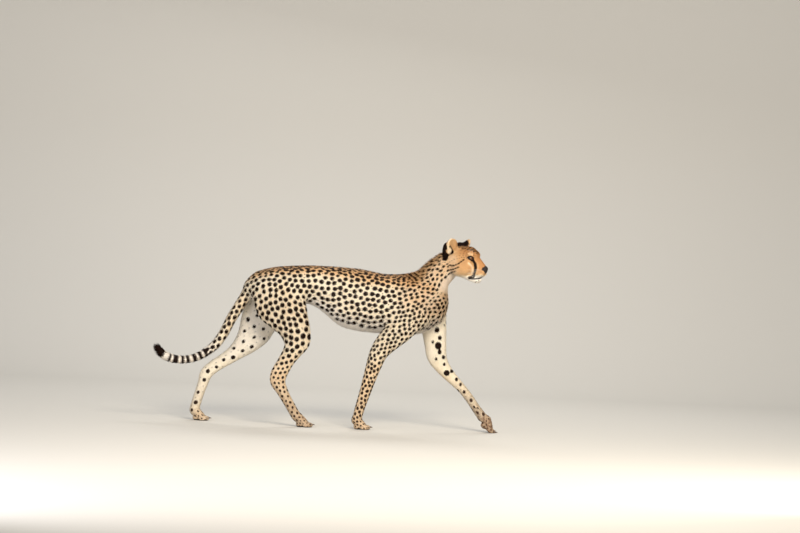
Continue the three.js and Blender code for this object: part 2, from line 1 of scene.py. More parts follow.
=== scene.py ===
# %% [markdown]
# # A walking cheetah, life size
# A museum's still model of a cheetah is a body form with a skin stretched over it, glass eyes, horn claws
# and a coat of short hair. This script builds the same layers in that order: first a smooth body surface,
# then its markings as numbers stored on that surface, then materials that read the numbers, and last the
# hair, which grows from the surface and so takes the same markings with it.

# %% Load the frame
import math

import bpy
import numpy as np
from mathutils import Matrix, Vector, kdtree


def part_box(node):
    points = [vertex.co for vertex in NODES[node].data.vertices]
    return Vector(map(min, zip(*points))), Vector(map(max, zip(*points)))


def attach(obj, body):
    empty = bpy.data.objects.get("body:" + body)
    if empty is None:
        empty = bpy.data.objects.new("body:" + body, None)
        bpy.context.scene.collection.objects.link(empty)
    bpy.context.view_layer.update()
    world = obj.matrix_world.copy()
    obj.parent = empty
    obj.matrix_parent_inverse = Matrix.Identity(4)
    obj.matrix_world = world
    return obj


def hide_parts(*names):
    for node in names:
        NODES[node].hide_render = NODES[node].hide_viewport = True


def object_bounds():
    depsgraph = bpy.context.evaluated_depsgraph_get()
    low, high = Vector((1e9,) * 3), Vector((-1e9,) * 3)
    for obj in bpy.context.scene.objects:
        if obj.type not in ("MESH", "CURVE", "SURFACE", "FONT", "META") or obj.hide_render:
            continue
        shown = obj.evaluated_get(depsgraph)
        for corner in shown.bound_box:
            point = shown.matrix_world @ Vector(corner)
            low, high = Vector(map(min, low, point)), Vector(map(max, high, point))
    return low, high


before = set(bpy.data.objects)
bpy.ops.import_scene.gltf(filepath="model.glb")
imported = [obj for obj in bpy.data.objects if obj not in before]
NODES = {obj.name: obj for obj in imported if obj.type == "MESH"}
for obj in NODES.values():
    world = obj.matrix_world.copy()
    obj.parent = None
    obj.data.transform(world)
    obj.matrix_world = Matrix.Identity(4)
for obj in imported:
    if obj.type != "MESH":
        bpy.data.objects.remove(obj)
CAD_BOX = [list(corner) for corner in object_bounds()]
MM = 0.001  # the forms below are in millimetres, and Blender's scene is in metres
print("frame:", len(NODES), "solids, box", [[round(v, 3) for v in corner] for corner in CAD_BOX])

# %% [markdown]
# ## Small helpers
# Every colour is written as the sRGB hex value that a paint chart would give, and one function turns it
# into the linear numbers that the shaders work in. A second function adds a node to any tree, shader or
# geometry, sets its properties, fills its inputs and links them, so that each tree below reads as a short
# list.


# %% Colour and node helpers
def linear(hex_colour):
    """An sRGB hex colour as linear RGBA."""
    parts = [int(hex_colour[i : i + 2], 16) / 255 for i in (0, 2, 4)]
    return [p / 12.92 if p <= 0.04045 else ((p + 0.055) / 1.055) ** 2.4 for p in parts] + [1.0]


def feed(tree, node, inputs):
    """Fills a node's inputs, each with a plain value or with another node's output that is linked to it."""
    for key, value in inputs.items():
        if isinstance(value, bpy.types.NodeSocket):
            tree.links.new(value, node.inputs[key])
        else:
            node.inputs[key].default_value = value
    return node


def add_node(tree, kind, inputs=None, **settings):
    made = tree.nodes.new(kind)
    for key, value in settings.items():
        setattr(made, key, value)
    return feed(tree, made, inputs or {})


def linked(name, data):
    """A new object in the scene for a mesh, a lamp or a camera."""
    made = bpy.data.objects.new(name, data)
    bpy.context.scene.collection.objects.link(made)
    return made


def direction(v):
    return np.array(v) / np.linalg.norm(v)


def smooth_step(low, high, value):
    """0 below low, 1 above high and a soft ramp between. With low above high the ramp falls."""
    t = np.clip((value - low) / (high - low), 0.0, 1.0)
    return t * t * (3 - 2 * t)


print("helpers ready; mid grey is", [round(v, 3) for v in linear("808080")])

# %% [markdown]
# ## The body as distances
# A living body has no edges: neck flows into shoulder and thigh into flank. Such a shape is awkward to
# build from patches, but easy to write as a distance: for any point in space, how far is it from the flesh?
# Each limb is an oval section swept along a smooth path, each lump of the head is an ellipsoid, and two
# distances are joined with a fillet where they cross. A station of a path is x, y, z and the section's half
# sizes: front, back and side. On the trunk and the neck, front means the upper side and back the lower one.

# %% Stations of the trunk, neck and tail, in millimetres
TRUNK = [
    [-372, 0, 682, 58, 62, 52], [-330, 0, 690, 80, 76, 78], [-270, 0, 698, 92, 88, 92],
    [-200, 0, 704, 95, 92, 90], [-130, 0, 706, 98, 94, 80], [-65, 0, 702, 105, 98, 76],
    [0, 0, 690, 117, 116, 79], [60, 0, 674, 132, 140, 85], [120, 0, 656, 146, 160, 91],
    [190, 0, 642, 148, 158, 95], [260, 0, 636, 144, 156, 96], [330, 0, 636, 144, 158, 94],
    [400, 0, 638, 142, 158, 90], [462, 0, 640, 118, 150, 86], [525, 0, 636, 84, 106, 74],
]
NECK = [
    [440, 0, 668, 98, 104, 80], [492, 0, 712, 93, 88, 70], [533, -1, 772, 85, 74, 60],
    [570, -3, 814, 78, 69, 55], [604, -8, 846, 70, 68, 53],
]
TAIL = [
    [-350, 0, 720, 34, 34, 34], [-393, 0, 677, 33, 33, 32], [-434, 0, 606, 31, 31, 30],
    [-482, 0, 524, 29, 29, 29], [-516, 0, 452, 28, 28, 28], [-560, 0, 385, 27, 27, 27],
    [-630, 0, 331, 24, 24, 25], [-700, 0, 307, 23, 23, 24], [-765, 0, 308, 24, 24, 25],
    [-812, 0, 325, 25, 25, 26], [-845, 0, 357, 20, 20, 21],
]
print("trunk, neck and tail:", len(TRUNK) + len(NECK) + len(TAIL), "stations")

# %% Stations of the legs, where each paw stands, its turn and its tilt in degrees
LEGS = {
    "foreleg_right": {
        "side": -1,
        "stations": [
            [432, -64, 600, 80, 78, 34], [368, -74, 512, 68, 66, 36], [305, -80, 450, 60, 58, 36],
            [262, -80, 392, 49, 47, 33], [241, -78, 330, 41, 41, 29], [222, -75, 265, 35, 35, 26],
            [206, -73, 205, 31, 31, 24], [190, -71, 150, 28, 28, 23], [176, -70, 98, 26, 26, 23],
            [166, -69, 56, 25, 24, 25],
        ],
        "paw": ([154, -69, 0], 3, 0),
        "dewclaw": ([186, -44, 106], 12, 62),
    },
    "foreleg_left": {
        "side": 1,
        "stations": [
            [510, 64, 600, 82, 78, 34], [530, 72, 512, 66, 64, 35], [541, 76, 435, 58, 56, 34],
            [553, 78, 372, 50, 52, 32], [582, 78, 322, 38, 40, 29], [628, 76, 270, 30, 30, 25],
            [680, 74, 220, 24, 24, 22], [720, 73, 174, 23, 23, 22], [756, 72, 125, 23, 23, 22],
            [792, 71, 78, 25, 25, 24],
        ],
        "paw": ([784, 71, 30], -3, 30),
        "dewclaw": ([764, 47, 128], -12, 30),
    },
    "hindleg_right": {
        "side": -1,
        "stations": [
            [-262, -56, 690, 112, 112, 34], [-246, -68, 612, 134, 124, 40], [-210, -76, 552, 116, 100, 43],
            [-178, -80, 502, 93, 78, 42], [-158, -82, 460, 80, 70, 40], [-152, -82, 424, 70, 64, 37],
            [-167, -81, 384, 52, 50, 32], [-190, -79, 344, 44, 42, 28], [-211, -77, 304, 42, 41, 26],
            [-230, -75, 262, 42, 44, 25], [-236, -74, 224, 40, 40, 25], [-214, -73, 180, 30, 31, 23],
            [-188, -72, 136, 26, 27, 22], [-161, -71, 92, 25, 26, 23], [-140, -70, 56, 25, 25, 25],
        ],
        "paw": ([-134, -70, 0], 4, 0),
    },
    "hindleg_left": {
        "side": 1,
        "stations": [
            [-272, 56, 690, 112, 112, 34], [-292, 68, 622, 124, 122, 40], [-325, 75, 560, 108, 106, 43],
            [-350, 79, 502, 95, 93, 42], [-371, 80, 450, 84, 81, 40], [-405, 79, 400, 63, 63, 36],
            [-456, 78, 350, 43, 44, 30], [-510, 76, 309, 35, 36, 26], [-562, 75, 272, 32, 35, 24],
            [-600, 74, 234, 31, 34, 24], [-614, 74, 190, 27, 28, 22], [-629, 73, 142, 25, 26, 22],
            [-642, 72, 96, 25, 26, 23], [-653, 72, 56, 25, 25, 25],
        ],
        "paw": ([-657, 72, 0], -4, 0),
    },
}
TOE_SPREAD = 15.5
TOE_RADII = [21, 9.6, 13]
DEWCLAW_TOE = [12, 6.5, 7.5]
print("legs:", {name: len(leg["stations"]) for name, leg in LEGS.items()})

# %% Places on the head, in its own frame, whose x points to the nose
HEAD_PIVOT = np.array([600.0, -8.0, 850.0])
HEAD_YAW = -20
EYE_RADIUS = 17
EYE_CENTRE = np.array([112.0, 34.0, 27.0])
EARS = {  # the root's middle, the ways that it points and opens, and the middle of the swelling behind it
    "ear_right": ([27, -44, 61], [-0.14, -0.3, 0.94], [0.86, -0.50, 0.08], [-12, -54, 55]),
    "ear_left": ([48, 42, 62], [0.42, 0.26, 0.87], [0.80, 0.60, 0.05], [22, 46, 59]),
}
EAR_HEEL = [15, 15, 40]
print("eyes", 2 * EYE_RADIUS, "mm across")


# %% Distances: ovals, sweeps and fillets
FAR = 80.0  # further off than this, a form has no say in the shape


def blend_min(a, b, width):
    """The smaller of two distances, with a fillet about as wide as width where they cross."""
    near = np.maximum(width - np.abs(a - b), 0) / width
    return np.minimum(a, b) - near * near * width / 4


def blend_max(a, b, width):
    return -blend_min(-a, -b, width)


def oval_distance(p, half):
    """The distance to an ellipsoid of half sizes half, for points along its own axes."""
    half = np.broadcast_to(np.asarray(half, np.float32), p.shape)
    size = np.linalg.norm(p / half, axis=1)
    slope = np.linalg.norm(p / half**2, axis=1)
    return np.where(slope < 1e-6, -half.min(axis=1), (size - 1) * size / np.maximum(slope, 1e-6))


def refine(stations, steps=4):
    """More stations, on the smooth curve through the given ones."""
    rows = np.array(stations, float)
    last = len(rows) - 1
    made = []
    for i in range(last):
        p, a, b, n = rows[max(i - 1, 0)], rows[i], rows[i + 1], rows[min(i + 2, last)]
        for t in np.arange(steps) / steps:
            made.append(a + 0.5 * t * (b - p + t * (2 * p - 5 * a + 4 * b - n + t * (3 * (a - b) + n - p))))
    return np.array(made + [rows[-1]], np.float32)


class Sweep:
    """An oval section swept along a smooth path, with round ends."""

    def __init__(self, stations):
        rows = refine(stations)
        self.start, self.end = rows[:-1], rows[1:]
        along = self.end[:, :3] - self.start[:, :3]
        self.length = np.linalg.norm(along, axis=1)
        self.d = along / self.length[:, None]
        side = np.array([0, 1, 0]) - self.d * self.d[:, 1:2]
        self.s = (side / np.linalg.norm(side, axis=1)[:, None]).astype(np.float32)
        self.n = np.cross(self.d, self.s)
        self.middle = (self.start[:, :3] + self.end[:, :3]) / 2
        self.reach = self.length / 2 + np.maximum(self.start[:, 3:].max(axis=1), self.end[:, 3:].max(axis=1))
        self.low = (self.middle - self.reach[:, None]).min(axis=0)
        self.high = (self.middle + self.reach[:, None]).max(axis=0)

    def place(self, p):
        """Each point's distance, the bar nearest it, and its shares along, up and across that bar."""
        gap = np.maximum(self.low - p, 0) + np.maximum(p - self.high, 0)
        distance = np.linalg.norm(gap, axis=1)
        bar = np.zeros(len(p), int)
        shares = np.zeros((len(p), 3), np.float32)
        near = np.flatnonzero(distance <= FAR)
        q = p[near]
        best = np.full(len(q), np.inf, np.float32)
        for k in range(len(self.length)):
            todo = np.flatnonzero(np.linalg.norm(q - self.middle[k], axis=1) - self.reach[k] < best)
            if not len(todo):
                continue
            r = q[todo] - self.start[k, :3]
            run = r @ self.d[k]
            on = np.clip(run, 0, self.length[k])
            t = on / self.length[k]
            up = r @ self.n[k]
            across = r @ self.s[k]
            column = np.where(up > 0, 3, 4)
            deep = self.start[k][column] * (1 - t) + self.end[k][column] * t
            wide = self.start[k, 5] * (1 - t) + self.end[k, 5] * t
            local = np.stack([up, across, run - on], axis=1)
            found = oval_distance(local, np.stack([deep, wide, np.minimum(deep, wide)], axis=1))
            closer = found < best[todo]
            chosen = todo[closer]
            best[chosen] = found[closer]
            bar[near[chosen]] = k
            shares[near[chosen]] = np.stack([t, up / deep, across / wide], axis=1)[closer]
        distance[near] = best
        return distance, bar, shares

    def distance(self, p):
        return self.place(p)[0]


def turn(yaw, tilt=0.0):
    """A turn to the side and then a tilt, nose down, in degrees."""
    yaw, tilt = math.radians(yaw), math.radians(tilt)
    about_z = [[math.cos(yaw), -math.sin(yaw), 0], [math.sin(yaw), math.cos(yaw), 0], [0, 0, 1]]
    about_y = [[math.cos(tilt), 0, math.sin(tilt)], [0, 1, 0], [-math.sin(tilt), 0, math.cos(tilt)]]
    return np.array(about_z) @ np.array(about_y)


def into(p, origin, axes):
    """Points in a frame of its own: an origin, and axes as the columns of a matrix."""
    return ((p - np.asarray(origin, np.float32)) @ axes).astype(np.float32)


def blob(p, centre, half):
    return oval_distance(p - np.asarray(centre, np.float32), half)


def beside(q):
    """Points of both halves of the body laid over the left half."""
    return q * np.array([1, 0, 1], np.float32) + np.abs(q) * np.array([0, 1, 0], np.float32)


print("a ball of 10 seen from 25 away:", oval_distance(np.array([[25.0, 0, 0]]), [10, 10, 10])[0])

# %% [markdown]
# ## Head, ears and paws
# The head is a handful of ellipsoids: brain case, forehead, cheeks, cheekbones, brows and whisker pads,
# with a tapering muzzle and a lower jaw swept between them. Working in the head's own frame keeps left and
# right alike, and the whole head can then look to one side. Each ear is a short cup, hollowed on its open
# side. A paw is four toes in front of an instep and a heel pad.

# %% The forms of the head
HEAD_AXES = turn(HEAD_YAW)
BRIDGE = Sweep([
    [108, 0, 20, 32, 30, 32], [132, 0, 12, 28, 34, 23], [150, 0, 3, 21, 32, 19], [166, 0, -9, 17, 26, 17],
    [180, 0, -20, 14, 20, 15],
])
MUZZLE = Sweep([
    [100, 0, -14, 36, 40, 46], [128, 0, -28, 32, 30, 37], [150, 0, -38, 24, 22, 30],
    [163, 0, -42, 19, 18, 24],
])
JAW = Sweep([[62, 0, -46, 22, 28, 44], [108, 0, -66, 24, 22, 34], [143, 0, -76, 24, 22, 23]])
ORBIT = [146, 46, 18], [26, 20, 20]  # the hollow in front of each eye
HEAD_BLEND = 15


def skull_distance(q):
    """The head's distance, in its own frame, without ears and lids."""
    mirrored = beside(q)
    forms = [
        blob(q, [52, 0, 16], [74, 60, 72]),  # brain case
        blob(q, [97, 0, 34], [47, 41, 52]),  # forehead
        BRIDGE.distance(q),
        MUZZLE.distance(q),
        JAW.distance(q),
        blob(q, [184, 0, -28], [13, 17, 14]),  # nose leather
    ]
    for centre, half in (
        ([66, 38, -22], [50, 30, 46]),  # cheek
        ([100, 38, 1], [32, 22, 22]),  # cheekbone
        ([118, 21, 44], [28, 19, 20]),  # brow
        ([160, 19, -46], [23, 19, 18]),  # whisker pad
    ):
        forms.append(blob(mirrored, centre, half))
        forms.append(blob(mirrored * np.array([1, -1, 1], np.float32), centre, half))
    total = forms[0]
    for form in forms[1:]:
        total = blend_min(total, form, HEAD_BLEND)
    return blend_max(total, -blob(mirrored, *ORBIT), HEAD_BLEND)


def in_head(p):
    """Points in the head's own frame."""
    return into(p, HEAD_PIVOT, HEAD_AXES)


def ear_axes(ear):
    """An ear's width, opening and height as the columns of a matrix, in the head's frame."""
    high = direction(ear[1])
    wide = direction(np.cross(ear[2], high))
    return np.stack([wide, np.cross(high, wide), high], axis=1)


def ear_distance(e, thinner=0.0):
    """A broad cup with a round rim, in the ear's own frame; thinner draws in both sides of its wall."""
    cup = blob(e, [0, 0, 28], [33, 14, 36])
    butt = blob(e, [0, 0, 6], [29, 20, 24])
    hollow = blend_min(blob(e, [0, 16, 36], [27, 20, 28]), blob(e, [0, 18, 16], [15, 18, 18]), 12)
    return blend_max(blend_min(cup, butt, 10) + thinner, thinner / 2 - hollow, 5)


def whole_ear(q, ear, thinner):
    """The cup and the swelling behind its root, in the head's frame."""
    cup = ear_distance(into(q, ear[0], ear_axes(ear)), thinner)
    return blend_min(cup, blob(q, ear[3], EAR_HEEL) + thinner, 40)


print("head frame turned", HEAD_YAW, "degrees")


# %% The forms of a paw
def toe_centre(i):
    return [50 if i in (0, 3) else 61, (i - 1.5) * TOE_SPREAD, 12]


INSTEP = Sweep([[8, 0, 44, 26, 24, 25], [26, 0, 30, 24, 22, 29], [44, 0, 20, 17, 18, 30]])


def paw_distance(q):
    """A paw in its own frame: heel at the origin, toes along x."""
    total = blend_min(INSTEP.distance(q), blob(q, [16, 0, 13], [20, 21, 15]), 12)
    for i in range(4):
        total = blend_min(total, blob(q, toe_centre(i), TOE_RADII), 7)
    return total


print("toes at", [toe_centre(i) for i in range(4)])

# %% [markdown]
# ## The whole animal
# The same few joins as a sculptor would make in clay: head onto neck, neck into trunk, tail and limbs into
# trunk. Each form's own distance is kept as well, because later steps ask of a point on the skin which part
# of the body it lies on: hair is long on the nape and short on the paws, and spots differ from flank to
# tail.

# %% One function for all forms
TRUNK_FORM, NECK_FORM, TAIL_FORM = Sweep(TRUNK), Sweep(NECK), Sweep(TAIL)
LIMBS = {name: Sweep(leg["stations"]) for name, leg in LEGS.items()}
PARTS = ["trunk", "neck", "skull", *EARS, "tail", *LEGS, *(name + "_paw" for name in LEGS)]


def within(p, low, high, form):
    """A form worked out only near its box, and elsewhere the distance to the box."""
    gap = np.maximum(np.array(low, np.float32) - p, 0) + np.maximum(p - np.array(high, np.float32), 0)
    distance = np.linalg.norm(gap, axis=1)
    near = distance <= FAR
    if near.any():
        distance[near] = form(p[near])
    return distance


def paw_distance_at(p, leg):
    origin, yaw, tilt = leg["paw"]
    low = np.array(origin) - [40, 60, 60]
    high = np.array(origin) + [110, 60, 90]
    return within(p, low, high, lambda q: paw_distance(into(q, origin, turn(yaw, tilt))))


def dewclaw_distance_at(p, leg):
    origin, yaw, tilt = leg["dewclaw"]
    return within(
        p, np.array(origin) - 25, np.array(origin) + 25,
        lambda q: blob(into(q, origin, turn(yaw, tilt)), [-4, 0, 0], DEWCLAW_TOE),
    )


def part_distances(p, thinner=0.0):
    """The distance from each point to each part of the body."""
    low, high = [550, -140, 720], [820, 90, 1000]
    d = {"trunk": TRUNK_FORM.distance(p), "neck": NECK_FORM.distance(p), "tail": TAIL_FORM.distance(p)}
    d["skull"] = within(p, low, high, lambda q: skull_distance(in_head(q)))
    for name, ear in EARS.items():
        d[name] = within(p, low, high, lambda q: whole_ear(in_head(q), ear, thinner))
    for name, leg in LEGS.items():
        d[name] = LIMBS[name].distance(p)
        d[name + "_paw"] = paw_distance_at(p, leg)
        if "dewclaw" in leg:
            d[name + "_paw"] = blend_min(d[name + "_paw"], dewclaw_distance_at(p, leg), 6)
    return d


def body_distance(d):
    """All parts flowed together."""
    front = blend_min(blend_min(d["neck"], d["skull"], 26), d["trunk"], 60)
    for name in EARS:
        front = blend_min(front, d[name], 10)
    whole = np.minimum(front, blend_min(d["trunk"], d["tail"], 26))
    for name in LEGS:
        limb = blend_min(d[name], d[name + "_paw"], 12)
        whole = np.minimum(whole, blend_min(limb, d["trunk"], 42))
    return whole


probe = np.array([[200.0, 0, 640], [200, 0, 900], [-800, 0, 320]], np.float32)
print("inside the trunk, above it, in the tail:", np.round(body_distance(part_distances(probe))))

# %% [markdown]
# ## How deep the coat is
# The solids of the frame follow the tips of the hair, so the skin lies under them by the depth of the coat.
# On a cheetah that is about 6 mm on the flanks, more in the ruff, under the belly and at the tail's tip,
# and next to nothing on the face, the ears and the toes. Each part has its own depth, and near a border the
# parts share the say, by how near each one is.

# %% Coat depth, in millimetres


def shares_of(d, softness=12.0):
    """How much say each part has at each point."""
    least = np.min([d[name] for name in PARTS], axis=0)
    say = {name: np.exp(-np.minimum((d[name] - least) / softness, 30)) for name in PARTS}
    total = sum(say.values())
    return {name: say[name] / total for name in PARTS}


def long_regions(x, z):
    """From 0 to 1, where the hair of the trunk is long: belly, chest and withers."""
    belly = smooth_step(585, 520, z) * smooth_step(-150, -40, x)
    chest = smooth_step(440, 540, x) * smooth_step(780, 700, z)
    return belly, chest, smooth_step(740, 790, z) * smooth_step(330, 450, x)


def part_depths(p):
    """The coat's depth if each part alone had its say."""
    q = in_head(p)
    z = p[:, 2]
    belly, chest, withers = long_regions(p[:, 0], z)
    face = smooth_step(60, 120, q[:, 0])
    jowl = smooth_step(-30, -70, q[:, 2]) * smooth_step(110, 50, q[:, 0])
    depth = {
        "trunk": 5.5 + 4.5 * belly + 3 * chest + 3 * withers,
        "neck": 7.5 + 2 * smooth_step(830, 900, z),
        "skull": 4 - 2.2 * face + 4 * jowl,
        "tail": 6.5 + 2.5 * smooth_step(-780, -840, p[:, 0]),
    }
    for name in EARS:
        depth[name] = np.full(len(p), 1.2)
    for name in LEGS:
        depth[name] = 3.0 + 2.0 * smooth_step(200, 520, z)
        depth[name + "_paw"] = 2.2 * smooth_step(0, 12, z)
    return depth


def mixed(values, shares):
    """One number for each point from the parts' own numbers, each with its share of the say."""
    return sum(shares[name] * values[name] for name in PARTS)


print("depth rules for", len(PARTS), "parts")

# %% [markdown]
# ## Lids, lips and nostrils
# The fine forms of the face are pushed into or out of the skin rather than built: a furrow for the mouth, a
# pit for each nostril, a groove under the nose, and round each eye a lid that lies on the eyeball and ends
# in a rim. A furrow is the distance to a line drawn on the side of the face, turned into a depth by a bell
# curve.

# %% Lines and bells on the face, in the head's frame
MOUTH_LINE = [[188, -63], [178, -66], [166, -69], [152, -72], [136, -74], [122, -74]]  # x and z
TEAR_LINE = [[126, 18], [136, 4], [142, -16], [142, -34], [135, -52], [127, -64]]
EYE_LOOK = direction([0.74, 0.66, 0.10])
LID_TILT = 16  # degrees that the outer corner of the eye is higher
LID_HALF = 13.2  # half the width of the opening, in millimetres
LID_RISE = [5.9, 7.4]  # how far the upper lid stands above the corners, and the lower one below them
LID_THICK = 2.4


def line_distance(flat, line):
    """The distance in a flat view from each point to a line of several lengths."""
    best = np.full(len(flat), 1e3, np.float32)
    for a, b in zip(np.array(line[:-1], np.float32), np.array(line[1:], np.float32)):
        t = np.clip((flat - a) @ (b - a) / ((b - a) @ (b - a)), 0, 1)
        best = np.minimum(best, np.linalg.norm(flat - a - t[:, None] * (b - a), axis=1))
    return best


def bell(distance, width):
    return np.exp(-((distance / width) ** 2))


def eye_axes():
    """The ways across to the eye's outer corner and up, both square to its look."""
    back = direction(np.cross([0, 0, 1], EYE_LOOK))
    high = np.cross(EYE_LOOK, back)
    c, s = math.cos(math.radians(LID_TILT)), math.sin(math.radians(LID_TILT))
    return c * back + s * high, c * high - s * back


EYE_ACROSS, EYE_UP = eye_axes()


def eye_view(q):
    """Points seen straight into the nearer eye: across to the outer corner, up, and out from its middle."""
    r = beside(q) - EYE_CENTRE
    return r @ EYE_ACROSS, r @ EYE_UP, r @ EYE_LOOK, np.linalg.norm(r, axis=1)


def lid_opening(q):
    """Below 0 inside the almond between the lids, in millimetres to its edge."""
    across, up, out, _ = eye_view(q)
    arcs = []
    for rise, way in zip(LID_RISE, (1, -1)):
        radius = (LID_HALF**2 + rise**2) / (2 * rise)
        arcs.append(np.hypot(across, up * way + radius - rise) - radius)
    return np.where(out > 0, np.maximum(*arcs), 40.0)


def stretch_distance(q, a, b):
    """The distance to a straight stretch from a to b."""
    a, b = np.array(a, np.float32), np.array(b, np.float32)
    t = np.clip((q - a) @ (b - a) / ((b - a) @ (b - a)), 0, 1)
    return np.linalg.norm(q - a - t[:, None] * (b - a), axis=1)


def mouth_distance(q):
    """The distance to the line of the lips, which rises to the groove under the nose."""
    return line_distance(np.stack([q[:, 0], q[:, 2] - 5 * bell(q[:, 1], 9)], axis=1), MOUTH_LINE)


NOSE_LEATHER = np.array([  # height, half width there, and how far back it reaches
    [-55, 0, 186], [-49, 3.2, 181], [-43, 10, 176], [-36, 17.5, 173], [-28, 21, 171], [-20, 19, 172],
    [-13, 13, 174], [-9, 9, 177], [-6.5, 5.5, 180], [-5, 0, 184],
])
NOSTRIL = [[194, 6.2, -32], [190, 10.5, -28], [182, 15.5, -29], [176, 17.5, -32]]  # the opening and its slit


def leather_inside(q):
    """How far inside the nose leather a point is, in millimetres."""
    height = q[:, 2]
    wide = np.interp(height, NOSE_LEATHER[:, 0], NOSE_LEATHER[:, 1])
    back = np.interp(height, NOSE_LEATHER[:, 0], NOSE_LEATHER[:, 2])
    return np.minimum(wide - np.abs(q[:, 1]), 0.7 * (q[:, 0] - back))


def face_relief(q, distance):
    """The skin's distance with the fine forms of the face worked in."""
    across, _, out, from_eye = eye_view(q)
    side = np.abs(q[:, 1])
    flat = q[:, [0, 2]]
    lid = from_eye - EYE_RADIUS - LID_THICK
    lid = lid + 0.6 * np.maximum(np.abs(across) - 17, 0)
    distance = np.where(out > 0, blend_min(distance, lid, 4), distance)
    opening = np.maximum(lid_opening(q), EYE_RADIUS - 2.5 - from_eye)
    distance = blend_max(distance, -opening, 1.6)
    distance = distance + 2.6 * bell(mouth_distance(q), 2.4)
    philtrum = line_distance(flat, [[197, -34], [189, -48], [183, -62]])
    distance = distance + 2.2 * bell(side, 1.5) * bell(philtrum, 6)
    m = beside(q)
    near_slit = bell(np.linalg.norm((m - [193, 8, -31]) / [12, 4.6, 4.2], axis=1), 1.0)
    distance = distance + 6.5 * near_slit
    for a, b in zip(NOSTRIL[:-1], NOSTRIL[1:]):
        distance = distance + 1.6 * bell(stretch_distance(m, a, b), 1.7)
    wing = np.linalg.norm((m - [186, 14, -23]) / [10, 5.5, 3.6], axis=1)
    distance = distance - 1.7 * bell(wing, 1.0)
    edge = smooth_step(2.4, 0.4, np.abs(leather_inside(q))) * (q[:, 0] > 165)
    distance = distance + 0.6 * edge
    tear = bell(line_distance(flat, TEAR_LINE[:4]), 5) * smooth_step(14, 24, side)
    return distance + 0.9 * tear


print("lid opening", 2 * LID_HALF, "by", sum(LID_RISE), "mm")

# %% [markdown]
# ## Muscle and bone under the skin
# A lean animal shows its shoulder blade, the muscles of the haunch, its last ribs and the line of its
# spine. Each is a soft swelling a few millimetres high or, where two muscles meet, a shallow groove.

# %% Swellings and grooves of the body
RELIEF = [  # x, y of the right side, z, half sizes, height
    ([418, 70, 690], [46, 40, 110], 5.0),  # shoulder blade
    ([470, 76, 560], [60, 40, 60], 4.0),  # point of the shoulder
    ([350, 84, 560], [60, 40, 60], 2.5),  # upper arm
    ([352, 80, 660], [16, 40, 90], -3.5),  # groove behind the shoulder
    ([-150, 70, 610], [60, 40, 90], 4.0),  # thigh
    ([-250, 70, 640], [50, 40, 100], 3.0),  # buttock
    ([-206, 76, 560], [14, 40, 110], -2.5),  # groove between the two
    ([-190, 40, 775], [36, 30, 22], 4.0),  # hip bone
    ([-60, 76, 610], [26, 40, 60], -4.0),  # hollow of the flank
    ([20, 60, 560], [34, 60, 30], -2.0),  # fold of the flank
    ([430, 0, 775], [60, 26, 22], 3.0),  # withers
    ([540, 30, 700], [22, 22, 70], 2.0),  # neck muscle
]
RIBS = 9
RIB_SPACING = 27


def body_relief(p, shares):
    """How far the skin stands proud of the plain body."""
    sided = beside(p)
    height = np.zeros(len(p), np.float32)
    for centre, half, rise in RELIEF:
        away = np.linalg.norm((sided - np.array(centre)) / half, axis=1)
        height += rise * bell(away, 0.9)
    slant = p[:, 0] + 0.35 * (p[:, 2] - 640)
    ribs = np.cos(2 * np.pi * slant / RIB_SPACING)
    last_rib = 330 - RIBS * RIB_SPACING
    cage = smooth_step(330, 290, slant) * smooth_step(last_rib - 40, last_rib, slant)
    height += 0.7 * ribs * cage * bell(p[:, 2] - 610, 70) * shares["trunk"]
    spine = bell(p[:, 1], 9) * smooth_step(700, 760, p[:, 2])
    return height * (shares["trunk"] + sum(shares[name] for name in LEGS)) + 1.5 * spine * shares["trunk"]


print("relief:", len(RELIEF), "forms and", RIBS, "ribs")


# %% The skin's own distance
def skin_distance(p, fine=True):
    d = part_distances(p, thinner=1.2)
    shares = shares_of(d)
    depths = part_depths(p)
    for name in EARS:
        depths[name] = 0.0
    distance = body_distance(d) + mixed(depths, shares)
    if fine:
        distance = distance - body_relief(p, shares)
        head = (p[:, 0] > 640) & (p[:, 2] > 740)
        if head.any():
            distance[head] = face_relief(in_head(p[head]), distance[head])
    sole = -p[:, 2]
    return np.where(p[:, 2] < 30, blend_max(distance, sole, 2.0), distance)


print("skin, flank:", round(float(skin_distance(np.array([[200.0, -95, 640]], np.float32))[0]), 1))

# %% [markdown]
# ## From distances to a skin
# A surface net turns distances into a mesh: space is cut into small cubes, each cube that the surface
# passes through gets one vertex, and neighbours are joined. Only the cubes near the surface need true
# distances, so a coarse net finds them first. The mesh is then halved where the form is fine, at the head
# and the paws and again round the eyes, nose and mouth, and every vertex slides along the distance's slope
# until it lies on the skin.

# %% A surface net
CELL = 5.5  # millimetres
COARSE = 3  # cells in the side of a coarse cube
LOW, HIGH = np.array(CAD_BOX[0]) / MM - 4 * CELL, np.array(CAD_BOX[1]) / MM + 4 * CELL


def lattice(cell, shape):
    axes = [LOW[i] + cell * np.arange(shape[i]) for i in range(3)]
    return np.stack(np.meshgrid(*axes, indexing="ij"), axis=-1).astype(np.float32)


def skin_samples():
    """Distances on a fine lattice, worked out only near the surface."""
    blocks = np.ceil((HIGH - LOW) / (CELL * COARSE)).astype(int) + 1
    rough = skin_distance(lattice(CELL * COARSE, blocks).reshape(-1, 3), fine=False).reshape(blocks)
    nearest = [np.round(np.arange((n - 1) * COARSE + 1) / COARSE).astype(int) for n in blocks]
    values = rough[np.ix_(*nearest)]
    near = np.abs(values) < 1.6 * CELL * COARSE
    values[near] = skin_distance(lattice(CELL, values.shape)[near], fine=False)
    return values


def slab(values, corner):
    """The values at one corner of every cell."""
    return values[tuple(slice(c, n - 1 + c) for c, n in zip(corner, values.shape))]


